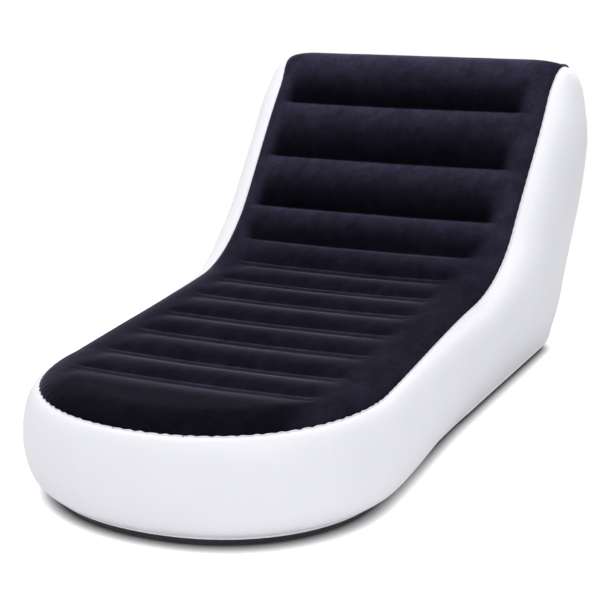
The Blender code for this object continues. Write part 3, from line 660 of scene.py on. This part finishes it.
TOP = Panel(True)
BASE = Panel(False)
VALVE_Z = BASE_HEIGHT + HEEL_RADIUS + VALVE_SHARE * (BASE.tip - BASE.heel)
VALVE_FRAME = Matrix.Translation((0, PAD_Y, VALVE_Z)) @ Matrix.Rotation(-math.pi / 2, 4, "X")
ACROSS = [1 - (1 - k / COLUMNS) ** COLUMN_POWER for k in range(COLUMNS)]


def mirrored(row):
    return [Vector((-p.x, p.y, p.z)) for p in row]


def seam_row(panel, station, right):
    """Points from the seam out to the edge of its lip, waved by the gathers."""
    point, lip, side = panel.at(station)
    wave = seam_wave(station, right) * (1 if panel.upper else BASE_WAVE)
    start = point + side * ((SHEET + GAP) / 2 + SEAM_WAVE * wave)
    row = [start + (lip * LIP + side * LIP_WAVE * wave) * k / LIP_COLUMNS for k in range(LIP_COLUMNS + 1)]
    return row if right else mirrored(row)


def whole_row(panel, places, end_station):
    """A row from lip to lip, -X to +X; places run from the middle out to the last one before the seam."""
    right = [panel.point(x, s) for x, s in places] + seam_row(panel, end_station, True)
    left = [panel.point(-x, s) for x, s in places[1:]] + seam_row(panel, end_station, False)
    return left[::-1] + right


def painted_light_row(panel, places, end_station):
    """The painted light and shade along a whole row. Both lips take the border's."""
    right = [panel.pile_tone_and_painted_light(x, s) for x, s in places]
    right += [right[-1]] * (LIP_COLUMNS + 1)
    return right[:0:-1] + right


def straight_places(panel, s):
    """Places along a straight row, and the station of its end."""
    half = panel.half(s)
    k, t = panel.between(min(s, panel.runs[-1]))
    return [(half * share, s) for share in ACROSS], k + t


def straight_row(panel, s):
    return whole_row(panel, *straight_places(panel, s))


def cap_places(panel, share, first):
    """Places along a row of the rounded foot end, from the first weld at 0 to the toe at 1."""
    start_y, corner = panel.points[0].y, panel.points[CORNER_STATION]
    half = panel.half(first)
    end_run = first + share * (corner.y - start_y - first)
    k, part = panel.between(end_run)
    spare = panel.half(end_run) - (1 - share) * half - share * corner.x
    places = []
    for t in ACROSS:
        toe = panel.at(CORNER_STATION * t)[0]
        places.append(((1 - share) * half * t + share * toe.x + t * spare,
                       (1 - share) * first + share * (toe.y - start_y)))
    return places, k + part


def toe_rows(panel):
    """The lip round the toe, and the toe's seam, between the foot's two corners."""
    right = [seam_row(panel, CORNER_STATION * t, True) for t in ACROSS]
    left = [seam_row(panel, CORNER_STATION * t, False) for t in ACROSS[1:]]
    ends = [seam_row(panel, CORNER_STATION, right_side) for right_side in (False, True)]
    rows = []
    for k in range(LIP_COLUMNS, -1, -1):
        row = [end[k] for end in left[::-1]] + [end[k] for end in right]
        tails = [[end[max(k, j)] for j in range(LIP_COLUMNS + 1)] for end in ends]
        rows.append(tails[0][::-1] + row + tails[1])
    return rows


def row_runs(panel, start, end, step):
    """Runs of a sheet's rows: several in each weld strip, and between strips closer towards the welds."""
    welds = [weld for weld in panel.welds if start - MERGE < weld < end]
    runs, last = [], start
    for weld in welds + [None]:
        low = end if weld is None else max(weld - WELD_WIDTH / 2, start)
        if low > last + MERGE:
            count = max(round((low - last) / step), 2)
            runs += [last + (low - last) * (1 - math.cos(math.pi * k / count)) / 2 for k in range(count)]
        if weld is None:
            break
        strip = [weld + share * WELD_WIDTH / 2 for share in STRIP_SHARES[:-1]]
        runs += [run for run in strip if run >= low]
        last = weld + WELD_WIDTH / 2
    return runs + [end]


def fin_rows(panel, s, inward):
    """The edge of a cross seam, and the hidden fin that turns from it into the chamber."""
    along = (panel.middle(s + WELD_WIDTH / 2 * inward)[0] - panel.middle(s)[0]).normalized()
    normal = panel.middle(s)[1]
    edge = [p + along * (SHEET + GAP) / 2 for p in straight_row(panel, s)]
    return edge, [p - normal * FIN for p in edge]


def grid_mesh(points, left_out=(), painted_light_grid=None):
    """A grid of faces through rows of points, without the faces named by row and column."""
    rows, columns = len(points) - 1, len(points[0]) - 1
    bm = bmesh.new()
    # A vertex layer of painted light and shade, halved, for the flock's colour
    layer = bm.verts.layers.float.new("pile_tone_and_painted_light") if painted_light_grid else None
    bmesh.ops.create_grid(bm, x_segments=columns, y_segments=rows, size=1)
    gone = []
    for face in bm.faces:
        middle = face.calc_center_median()
        place = (int((middle.y + 1) / 2 * rows), int((middle.x + 1) / 2 * columns))
        if place in left_out:
            gone.append(face)
    for vert in bm.verts:
        row, column = round((vert.co.y + 1) / 2 * rows), round((vert.co.x + 1) / 2 * columns)
        vert.co = points[row][column]
        if painted_light_grid:
            vert[layer] = painted_light_grid[row][column] / PAINTED_LIGHT_FULL
    bmesh.ops.delete(bm, geom=gone, context="FACES")
    bmesh.ops.remove_doubles(bm, verts=bm.verts, dist=MERGE)
    return bm


def linked(name, data):
    made = bpy.data.objects.new(name, data)
    bpy.context.scene.collection.objects.link(made)
    return made


def meshed(bm, name):
    """Makes an object of a finished mesh."""
    data = bpy.data.meshes.new(name)
    bm.to_mesh(data)
    bm.free()
    return linked(name, data)


def finish_piece(bm, name, slot, node, body="shell"):
    """Makes a piece that stands for a CAD node. It rides on a body, or on none where body is None."""
    made = meshed(bm, name)
    made.data.shade_smooth()
    made.data.materials.append(FINISHES[slot])
    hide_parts(node)
    if body:
        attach(made, body)
    return made


def thicken(made):
    wall = made.modifiers.new("thickness", "SOLIDIFY")
    wall.thickness = SHEET
    wall.offset = 0
    return made


def sheet_mesh(panel, start, end, step):
    """A sheet over a panel. It starts round the toe where start is None, and otherwise with a fin."""
    first = panel.welds[0] - WELD_WIDTH / 2 if start is None else start
    laid = [straight_places(panel, s) for s in row_runs(panel, first, end, step)]
    if start is None:
        shares = [1 - (k / CAP_ROWS) ** CAP_POWER for k in range(1, CAP_ROWS)]
        laid = [cap_places(panel, share, first) for share in shares] + laid
    rows = [whole_row(panel, *places) for places in laid]
    # Painted light and shade, for the flocked top sheet only
    painted_light_grid = [painted_light_row(panel, *places) for places in laid] if panel.upper else None
    if start is None:
        rows = toe_rows(panel) + rows
    else:
        edge, fin = fin_rows(panel, start, 1)
        rows[0:1] = [fin, edge]
    edge, fin = fin_rows(panel, end, -1)
    rows[-1:] = [edge, fin]
    if painted_light_grid:
        painted_light_grid = [painted_light_grid[0]] * (LIP_COLUMNS + 1) + painted_light_grid + [painted_light_grid[-1]]
    if not panel.upper:
        rows = [row[::-1] for row in rows]
    last, edge = len(rows) - 2, len(rows[0]) - 2
    sides = [*range(LIP_COLUMNS + 1), *range(edge - LIP_COLUMNS, edge + 1)]
    lip_sides = [*range(LIP_COLUMNS), *range(edge - LIP_COLUMNS + 1, edge + 1)]
    left_out = {(last, column) for column in sides}
    if start is None:
        left_out |= {(row, column) for row in range(LIP_COLUMNS) for column in lip_sides}
    else:
        left_out |= {(0, column) for column in sides}
    return grid_mesh(rows, left_out, painted_light_grid)


def side_wall_mesh():
    """One band from top corner to top corner round the foot, with a lip along each edge."""
    halves = []
    half_gap = (SHEET + GAP) / 2
    shares = [(1 - math.cos(math.pi * k / WALL_ROWS)) / 2 for k in range(WALL_ROWS + 1)]
    for right in (False, True):
        rows = []
        for k, station in enumerate(STATIONS):
            chord = (station.top - station.base).length
            place = (k / SIDE_START - 1) * -BULGE_SHARES[0]
            if k > SIDE_START:
                place = (TOP.runs[k] - TOP.foot) / (TOP.runs[-1] - TOP.foot)
            lean = eased(place, LEAN_SHARES, LEANS)
            taper = rounded((TOP.tip - TOP.runs[k]) / TAPER_RUN, TAPER_POWER)
            bulge = eased(place, BULGE_SHARES, BULGES) * taper
            wave = seam_wave(k, right)
            top = station.top + TOP.sides[k] * (SEAM_WAVE * wave - half_gap)
            low_wave = wave * BASE_WAVE
            base = station.base + BASE.sides[k] * (SEAM_WAVE * low_wave - half_gap)
            upper, lower = (TOP.lips[k] * LIP + TOP.sides[k] * LIP_WAVE * wave,
                            BASE.lips[k] * LIP + BASE.sides[k] * LIP_WAVE * low_wave)
            row = [top + upper * (LIP_COLUMNS - j) / LIP_COLUMNS for j in range(LIP_COLUMNS)]
            for v in shares:
                puff = PUCKER * wave * (pucker(v * chord) + pucker((1 - v) * chord)) / 2
                row.append(top.lerp(base, v) + station.out * (bulge * swell(v, lean) - puff))
            row += [base + lower * j / LIP_COLUMNS for j in range(1, LIP_COLUMNS + 1)]
            rows.append(row if right else mirrored(row))
        halves.append(rows)
    return grid_mesh(halves[0][:0:-1] + halves[1])


def web_mesh(top_weld, base_weld):
    """A tension web from a top weld to a base weld, with a tab along each."""
    rows = []
    for panel, weld, turn in ((TOP, top_weld, 1), (BASE, base_weld, -1)):
        normal = panel.middle(weld)[1] * (SHEET + GAP)
        bead = Vector((0, 0, BEAD)) * panel.normals[0].z
        wide = (panel.weld_half(weld) - WELD_FADE) * TAB_SHARE
        across = [wide * (k / WEB_COLUMNS * 2 - 1) for k in range(WEB_COLUMNS + 1)]
        for share in (-TAB_SHARE * turn, 0.0, TAB_SHARE * turn):
            run = weld + panel.strip(weld) * share
            rows.append([panel.point(x, run) - normal - bead for x in across])
    between = [[a.lerp(b, share) for a, b in zip(rows[2], rows[3])] for share in (0.25, 0.5, 0.75)]
    return grid_mesh(rows[:3] + between + rows[3:])


FLANGE_TOP = GAP + FLANGE_T
RIM_LOW = COLLAR_OUT + GAP
RIM_TOP = RIM_LOW + RIM_T
CAP_LOW = RIM_TOP + GAP
FLAP_TOP = -SCREW_IN - GAP


def turned(profile):
    """A closed profile of radius and height, turned about the valve's axis."""
    bm = bmesh.new()
    corners = [bm.verts.new((radius, 0, high)) for radius, high in profile]
    edges = [bm.edges.new(pair) for pair in zip(corners, corners[1:] + corners[:1])]
    bmesh.ops.spin(bm, geom=corners + edges, cent=(0, 0, 0), axis=(0, 0, 1), angle=2 * math.pi,
                   steps=VALVE_STEPS, use_merge=True)
    bmesh.ops.remove_doubles(bm, verts=bm.verts, dist=MERGE)
    bmesh.ops.recalc_face_normals(bm, faces=bm.faces)
    return bm


def sawn(bm, place, normal, **settings):
    """Cuts a mesh through along a plane."""
    everything = bm.verts[:] + bm.edges[:] + bm.faces[:]
    return bmesh.ops.bisect_plane(bm, geom=everything, plane_co=place, plane_no=normal, **settings)


def cut_flat(bm, y):
    """Cuts a turned piece off square at its hinge."""
    cut = sawn(bm, (0, y, 0), (0, -1, 0), clear_outer=True)
    edges = [part for part in cut["geom_cut"] if isinstance(part, bmesh.types.BMEdge)]
    bmesh.ops.edgeloop_fill(bm, edges=edges)
    bmesh.ops.recalc_face_normals(bm, faces=bm.faces)


def block(low, high):
    bm = bmesh.new()
    bmesh.ops.create_cube(bm, size=1)
    bmesh.ops.scale(bm, verts=bm.verts, vec=[b - a for a, b in zip(low, high)])
    bmesh.ops.translate(bm, verts=bm.verts, vec=[(a + b) / 2 for a, b in zip(low, high)])
    return bm


def rod(radius, y, low, high, top_radius=None):
    bm = bmesh.new()
    bmesh.ops.create_cone(bm, cap_ends=True, segments=VALVE_STEPS // 3, radius1=radius,
                          radius2=top_radius or radius, depth=high - low)
    bmesh.ops.translate(bm, verts=bm.verts, vec=(0, y, (low + high) / 2))
    return bm


def extruded(outline, width):
    """An outline in the valve's middle plane, as wide as given across it."""
    bm = bmesh.new()
    side = bm.faces.new([bm.verts.new((-width / 2, y, z)) for y, z in outline])
    grown = bmesh.ops.extrude_face_region(bm, geom=[side])["geom"]
    moved = [part for part in grown if isinstance(part, bmesh.types.BMVert)]
    bmesh.ops.translate(bm, verts=moved, vec=(width, 0, 0))
    bmesh.ops.recalc_face_normals(bm, faces=bm.faces)
    return bm


def combine(made, bm, operation="UNION"):
    """Adds or cuts a helper shape, which is then removed."""
    helper = meshed(bm, "helper")
    step = made.modifiers.new("helper", "BOOLEAN")
    step.operation = operation
    step.object = helper
    settle(made)
    bpy.data.objects.remove(helper)


def settle(made):
    """Makes the modifiers' result the object's own mesh."""
    bpy.context.view_layer.update()
    result = bpy.data.meshes.new_from_object(made.evaluated_get(bpy.context.evaluated_depsgraph_get()))
    made.modifiers.clear()
    made.data = result


def round_edges(made, width=ROUND):
    made.data.transform(VALVE_FRAME)
    edges = made.modifiers.new("rounded edges", "BEVEL")
    edges.width = width
    edges.segments = BEVEL_STEPS
    edges.angle_limit = BEVEL_FROM
    edges.harden_normals = True
    settle(made)
    return made


def make_base():
    bore, wide = SCREW_R + SCREW_CLEARANCE, COLLAR_R
    face = [(wide, FLANGE_TOP)]
    dips = ((-RING_DEPTH, 0), (0, RING_DEPTH), (RING_DEPTH, 0))
    for groove in RING_GROOVES:
        face += [(groove + aside, FLANGE_TOP - deep) for aside, deep in dips]
    profile = [(bore, COLLAR_OUT), (wide, COLLAR_OUT)] + face
    profile += [(FLANGE_R, FLANGE_TOP), (FLANGE_R, GAP), (wide, GAP), (wide, -COLLAR_IN), (bore, -COLLAR_IN)]
    round_edges(finish_piece(turned(profile), "valve_collar", "valve_plastic", "valve_base"))


def make_insert():
    core = SCREW_R - THREAD
    profile = [(BORE_R, RIM_TOP), (RIM_R, RIM_TOP), (RIM_R, RIM_LOW)]
    profile += [(core, RIM_LOW - (RIM_LOW + SCREW_IN) * k / THREAD_ROWS) for k in range(THREAD_ROWS + 1)]
    profile += [(SEAT_R, -SCREW_IN), (SEAT_R, SEAT_T - SCREW_IN), (BORE_R, SEAT_T - SCREW_IN)]
    bm = turned(profile)
    for vert in bm.verts:
        radius, turn = math.hypot(vert.co.x, vert.co.y), math.atan2(vert.co.y, vert.co.x)
        if radius > RIM_R - MERGE:
            vert.co.xy *= 1 - RIM_FLUTE / RIM_R * math.cos(FLUTES * turn / 2) ** RIDGE_POWER
        elif abs(radius - core) < MERGE:
            wound = vert.co.z / THREAD_PITCH - turn / (2 * math.pi)
            ridge = math.cos(math.pi * wound) ** RIDGE_POWER
            ends = clamp((vert.co.z + SCREW_IN) / THREAD_START) * clamp((RIM_LOW - vert.co.z) / THREAD_START)
            vert.co.xy *= 1 + THREAD * ridge * ends / core
    made = finish_piece(bm, "valve_screw_insert", "valve_plastic", "valve_insert", "insert")
    ledge_y = FLAP_CUT + GAP
    combine(made, block((-LEDGE_WIDTH / 2, -ledge_y - LEDGE_OUT, -SCREW_IN - LEDGE_DEPTH),
                        (LEDGE_WIDTH / 2, -ledge_y, BITE - SCREW_IN)))
    head = CAP_LOW + STRAP_T
    combine(made, rod(STUD_R, -STUD_AT, RIM_TOP - BITE, head + BITE))
    combine(made, rod(STUD_HEAD, -STUD_AT, head + BITE / 5, head + STUD_RISE, STUD_R))
    round_edges(made)


def make_flap():
    bm = turned([(0, FLAP_TOP), (FLAP_R, FLAP_TOP), (FLAP_R, FLAP_TOP - FLAP_T), (0, FLAP_TOP - FLAP_T)])
    cut_flat(bm, -FLAP_CUT)
    round_edges(finish_piece(bm, "valve_air_flap", "soft_plastic", "valve_flap", "flap"), ROUND / 2)


def make_cap():
    plug_low, plug_in = RIM_TOP - PLUG_IN, PLUG_R - PLUG_WALL
    dish = VALVE_OUT - CAP_DISH
    profile = [(0, dish), (CAP_DISH_R, dish), (CAP_DISH_R + CAP_DISH, VALVE_OUT),
               (CAP_R, VALVE_OUT), (CAP_R, CAP_LOW), (PLUG_R, CAP_LOW), (PLUG_R, plug_low),
               (plug_in, plug_low), (plug_in, CAP_LOW), (0, CAP_LOW)]
    bm = turned(profile)
    cut_flat(bm, -CAP_CUT)
    made = finish_piece(bm, "valve_stopper", "valve_plastic", "valve_cap", "cap")
    half, tab_top = TAB_WIDTH / 2, CAP_LOW + TAB_T
    combine(made, block((-half, CAP_R - BITE, CAP_LOW), (half, CAP_R + TAB_OUT, tab_top)))
    for k in range(TAB_RIBS):
        y = CAP_R + TAB_OUT * (k + 1) / (TAB_RIBS + 1)
        rib = block((RIB - half, y - RIB / 2, CAP_LOW + RIB), (half - RIB, y + RIB / 2, tab_top + RIB / 2))
        combine(made, rib)
    round_edges(made, ROUND / 2)


def bendable(bm, name, node, cut=None):
    """A soft strap, on no body: a shape is cut out of it where one is given, its edges are rounded and its
    place is baked into its mesh.
    """
    made = finish_piece(bm, name, "soft_plastic", node, None)
    if cut:
        combine(made, cut, "DIFFERENCE")
    round_edges(made, ROUND / 2)
    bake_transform(made)


def sliced(bm, axis, low, high, count):
    """Cuts a strap across into short lengths."""
    for k in range(1, count):
        place = [0, 0, 0]
        place[axis] = low + (high - low) * k / count
        normal = [0, 0, 0]
        normal[axis] = 1
        sawn(bm, place, normal)
    return bm


def make_straps():
    half = STRAP_WIDTH / 2
    strap = block((-half, -STRAP_END, CAP_LOW), (half, BITE - CAP_CUT, CAP_LOW + STRAP_T))
    strap = sliced(strap, 1, -STRAP_FREE, -CAP_CUT, STRAP_SLICES)
    bendable(strap, "stopper_strap", "cap_strap",
             rod(STUD_R + EYE_CLEARANCE, -STUD_AT, RIM_TOP, VALVE_OUT))
    inner = COLLAR_R + GAP
    outer = inner + RING_WALL
    ring = turned([(inner, RING_LOW), (inner, RING_HIGH), (outer, RING_HIGH), (outer, RING_LOW)])
    round_edges(finish_piece(ring, "leash_ring", "soft_plastic", "insert_leash", "leash"))
    start, hook, far = outer - BITE, RIM_R - 2 * BITE, LEASH_OUT
    near, low, high = far - LEASH_T, RING_LOW + LEASH_T, LEASH_TOP - LEASH_T
    outline = [(start, RING_LOW), (far, RING_LOW), (far, LEASH_TOP), (hook, LEASH_TOP),
               (hook, high), (near, high), (near, low), (start, low)]
    leash = sliced(extruded(outline, LEASH_WIDTH), 2, low, high, LEASH_SLICES)
    bendable(leash, "leash_strap", "insert_leash")


class Nodes:
    """Makes the nodes of one material, or of the world."""

    def __init__(self, made):
        self.made = made
        made.use_nodes = True
        self.tree = made.node_tree
        self.shader = self.tree.nodes.get("Principled BSDF")
        self.place = self.add("TexCoord").outputs["Object"]

    def feed(self, node, sockets):
        """Sets each named input of a node to its value, or links it to the output given for it."""
        for key, value in sockets.items():
            if isinstance(value, bpy.types.NodeSocket):
                self.tree.links.new(value, node.inputs[key])
            else:
                node.inputs[key].default_value = value

    def add(self, kind, sockets=None, **settings):
        node = self.tree.nodes.new("ShaderNode" + kind)
        for key, value in settings.items():
            setattr(node, key, value)
        self.feed(node, sockets or {})
        return node

    def reckon(self, operation, first, second):
        return self.add("Math", {0: first, 1: second}, operation=operation).outputs[0]

    def between(self, value, low, high, **settings):
        """0 where the value is low, 1 where it is high."""
        sockets = {"Value": value, "From Min": low, "From Max": high}
        return self.add("MapRange", sockets, **settings).outputs[0]

    def noise(self, scale, detail=3.0, rough=0.5, stretch=None):
        """A noise pattern's factor at a scale per metre."""
        place = self.place
        if stretch:
            place = self.add("Mapping", {"Vector": place, "Scale": stretch}).outputs["Vector"]
        sockets = {"Vector": place, "Scale": scale, "Detail": detail, "Roughness": rough}
        return self.add("TexNoise", sockets).outputs["Fac"]

    def ramp(self, factor, *stops):
        """Two colours or greys, each at its place from 0 to 1."""
        node = self.add("ValToRGB", {"Fac": factor})
        for element, (where, colour) in zip(node.color_ramp.elements, stops):
            element.position = where
            element.color = (*colour, 1) if hasattr(colour, "__len__") else (colour, colour, colour, 1)
        return node.outputs["Color"]

    def mix(self, factor, first, second, kind="MIX"):
        """Mixes two colours. This node holds sockets of every type, and these are those for colours."""
        sockets = {0: factor, 6: first, 7: second}
        return self.add("Mix", sockets, data_type="RGBA", blend_type=kind).outputs[2]

    def times(self, first, second):
        return self.mix(1.0, first, second, "MULTIPLY")

    def bump(self, height, strength, distance, before=None):
        sockets = {"Strength": strength, "Distance": distance, "Height": height}
        if before:
            sockets["Normal"] = before
        return self.add("Bump", sockets).outputs["Normal"]

    def finish(self, colour, rough, normal, **fixed):
        """Links colour, roughness and normal, and sets the sockets that are the same all over."""
        self.feed(self.shader, {"Base Color": colour, "Roughness": rough, "Normal": normal})
        self.feed(self.shader, {key.replace("_", " "): value for key, value in fixed.items()})
        return self.made


def flock():
    """Short dark flock: brushed patches, single fibres, light and shade painted into its colour from the
    sheet's vertex layer, and a soft sheen at grazing light.
    """
    n = Nodes(bpy.data.materials.new("flock"))
    patches = n.noise(9, 4, 0.6)
    brushed = n.noise(34, 3, 0.6, (1, 0.45, 1))
    specks = n.noise(300, 2, 0.7, (1, 0.6, 1))
    fibres = n.noise(1500, 2, 0.6)
    # Painted light and shade from the top sheet's vertex layer: pale flanks, dark folds and highlight lines
    # on the welds
    painted_light = n.add("Attribute", attribute_name="pile_tone_and_painted_light").outputs["Fac"]
    wide = n.ramp(patches, (0.35, (0.0094, 0.0087, 0.0156)), (0.7, (0.0126, 0.0117, 0.0207)))
    # The painted light and shade scales the colour from about a quarter to about five times
    wide = n.times(wide, n.ramp(painted_light, (0.0, 0.26), (1.0, 5.14)))
    pile_tone_and_painted_light = n.times(n.ramp(brushed, (0.35, 0.8), (0.68, 1.2)), n.ramp(specks, (0.3, 0.72), (0.7, 1.3)))
    colour = n.times(n.times(wide, pile_tone_and_painted_light), n.ramp(fibres, (0.3, 0.7), (0.72, 1.35)))
    normal = n.bump(fibres, 0.35, 0.4 * MM)
    normal = n.bump(brushed, 0.2, 0.8 * MM, normal)
    return n.finish(colour, n.ramp(brushed, (0.3, 0.86), (0.7, 0.97)), normal, Sheen_Weight=0.34,
                    Sheen_Roughness=0.25, Sheen_Tint=(0.8, 0.75, 1.0, 1), Specular_IOR_Level=0.0)


def vinyl(name, low, high, grain, rough, depth):
    """Soft vinyl sheet: a fine calendered grain and faint clouds in its colour and gloss."""
    n = Nodes(bpy.data.materials.new(name))
    clouds = n.noise(6, 3, 0.5)
    pores = n.noise(grain, 3, 0.6)
    fine = n.mix(0.06, n.ramp(clouds, (0.3, low), (0.72, high)), n.ramp(pores, (0.3, low), (0.7, high)))
    normal = n.bump(pores, 0.25, depth)
    return n.finish(fine, n.ramp(n.noise(40, 3, 0.5), (0.3, rough - 0.05), (0.7, rough + 0.05)), normal,
                    Specular_IOR_Level=0.45)


# Vinyls and plastics: dark and pale colour, grain per metre, roughness and depth of the grain
VINYLS = {"white_vinyl": ((0.85, 0.85, 0.885), (0.88, 0.88, 0.915), 900, 0.42, 0.1 * MM),
          "dark_vinyl": ((0.012, 0.012, 0.018), (0.018, 0.018, 0.026), 700, 0.5, 0.25 * MM),
          "clear_vinyl": ((0.5, 0.52, 0.55), (0.6, 0.62, 0.65), 500, 0.4, 0.1 * MM),
          "valve_plastic": ((0.74, 0.75, 0.78), (0.8, 0.81, 0.84), 1400, 0.35, 0.05 * MM),
          "soft_plastic": ((0.66, 0.67, 0.7), (0.72, 0.73, 0.76), 1100, 0.5, 0.08 * MM)}
FINISHES = {"dark_flock": flock()}
for vinyl_slot, vinyl_look in VINYLS.items():
    FINISHES[vinyl_slot] = vinyl(vinyl_slot, *vinyl_look)

top = thicken(finish_piece(sheet_mesh(TOP, None, TOP.tip, ROW), "flocked_top", "dark_flock", "top_sheet"))
wall = thicken(finish_piece(side_wall_mesh(), "white_side_wall", "white_vinyl", "side_wall"))
floor_mesh = sheet_mesh(BASE, None, BASE.heel, FLOOR_ROW)
floor_sheet = thicken(finish_piece(floor_mesh, "dark_bottom", "dark_vinyl", "bottom_sheet"))
web_names = [f"seat_beam_{k + 1}" for k in range(len(SEAT_WELD_SHARES))] + ["bend_beam"]
web_names += [f"back_beam_{k + 1}" for k in range(len(BACK_WELD_SHARES))]
for web_name, upper_weld, lower_weld in zip(web_names, TOP.welds, BASE.welds):
    web = web_mesh(upper_weld, lower_weld)
    thicken(finish_piece(web, web_name.replace("beam", "web"), "clear_vinyl", web_name))
rear_mesh = sheet_mesh(BASE, BASE.heel, BASE.tip, ROW)
rear_sheet = thicken(finish_piece(rear_mesh, "dark_back", "dark_vinyl", "back_sheet"))
opening = rod(COLLAR_HOLE, 0, -COLLAR_IN, COLLAR_IN)
opening.transform(VALVE_FRAME)
combine(rear_sheet, opening, "DIFFERENCE")
make_base()
make_insert()
make_flap()
make_cap()
make_straps()

for row in frame["record"]["subparts"]:
    node = frame["nodes"][row["node"]]
    node.data.materials.clear()
    node.data.materials.append(FINISHES[row["material_slot"]])


def pale_world():
    """A pale sky for light, which the camera and mirrored rays see as plain white."""
    world = bpy.data.worlds.new("studio")
    bpy.context.scene.world = world
    n = Nodes(world)
    sky = n.tree.nodes["Background"]
    n.feed(sky, {"Color": SKY_COLOUR, "Strength": SKY_STRENGTH})
    white = n.add("Background", {"Color": (1, 1, 1, 1), "Strength": 1.0})
    rays = n.add("LightPath").outputs
    clear = n.reckon("MAXIMUM", rays["Is Glossy Ray"], rays["Is Transmission Ray"])
    seen = n.reckon("MAXIMUM", rays["Is Camera Ray"], clear)
    mixed = n.add("MixShader", {0: seen, 1: sky.outputs[0], 2: white.outputs[0]})
    n.feed(n.tree.nodes["World Output"], {"Surface": mixed.outputs[0]})


def floor_look():
    """Pale floor, which the camera alone sees white far out and darker close to the object: a contact shadow
    painted from ambient occlusion.
    """
    n = Nodes(bpy.data.materials.new("studio_floor"))
    seen = n.add("LightPath").outputs["Is Camera Ray"]
    # Painted contact shadow: ambient occlusion near the object darkens the floor's colour and glow, for the
    # camera alone
    contact = n.add("AmbientOcclusion", {"Distance": CONTACT_REACH}).outputs["AO"]
    clear = n.between(contact, *CONTACT_SHARES)
    shaded = n.add("MapRange", {"Value": clear, "To Min": CONTACT_PAINTED_SHADE, "To Max": FLOOR_TONE}).outputs[0]
    tone = n.add("Mix", {"Factor": seen, "A": FLOOR_TONE, "B": shaded}).outputs["Result"]
    n.feed(n.shader, {"Base Color": tone, "Roughness": 0.8, "Specular IOR Level": 0.1})
    strength = n.reckon("MULTIPLY", n.reckon("MULTIPLY", seen, FLOOR_GLOW), clear)
    glow = n.add("Emission", {"Strength": strength})
    lit = n.add("AddShader", {0: n.shader.outputs[0], 1: glow.outputs[0]})
    away = n.add("VectorMath", {0: n.place}, operation="LENGTH").outputs["Value"]
    far = n.between(away, *FLOOR_FADE, interpolation_type="SMOOTHSTEP")
    faded = n.reckon("MULTIPLY", far, seen)
    white = n.add("Emission")
    mixed = n.add("MixShader", {0: faded, 1: lit.outputs[0], 2: white.outputs[0]})
    n.feed(n.tree.nodes["Material Output"], {"Surface": mixed.outputs[0]})
    return n.made


def studio():
    """A pale floor, a pale sky, and soft lamps above, in front and behind."""
    bpy.context.scene.view_settings.view_transform = "Standard"
    pale_world()
    bm = bmesh.new()
    bmesh.ops.create_circle(bm, cap_ends=True, segments=96, radius=FLOOR_RADIUS)
    floor = meshed(bm, "studio_floor")
    floor.data.materials.append(floor_look())
    for name, (place, size, watts, target) in LAMPS.items():
        data = bpy.data.lights.new(name, "AREA")
        data.shape = "DISK"
        data.size = size
        data.energy = watts
        lamp = linked(name, data)
        lamp.location = place
        lamp.rotation_euler = (Vector(target) - Vector(place)).to_track_quat("-Z", "Y").to_euler()


def camera():
    data = bpy.data.cameras.new("camera")
    data.sensor_width = SENSOR
    data.lens = LENS
    data.clip_end = 100
    made = linked("camera", data)
    made.location = CAMERA_AT
    yaw, pitch, roll = map(math.radians, CAMERA_TURNS)
    forward = Vector((-math.sin(yaw) * math.cos(pitch), math.cos(yaw) * math.cos(pitch), -math.sin(pitch)))
    level = Vector((math.cos(yaw), math.sin(yaw), 0))
    raised = level.cross(forward)
    right = level * math.cos(roll) + raised * math.sin(roll)
    made.rotation_euler = Matrix((right, right.cross(forward), -forward)).transposed().to_euler()
    bpy.context.scene.camera = made


studio()
camera()
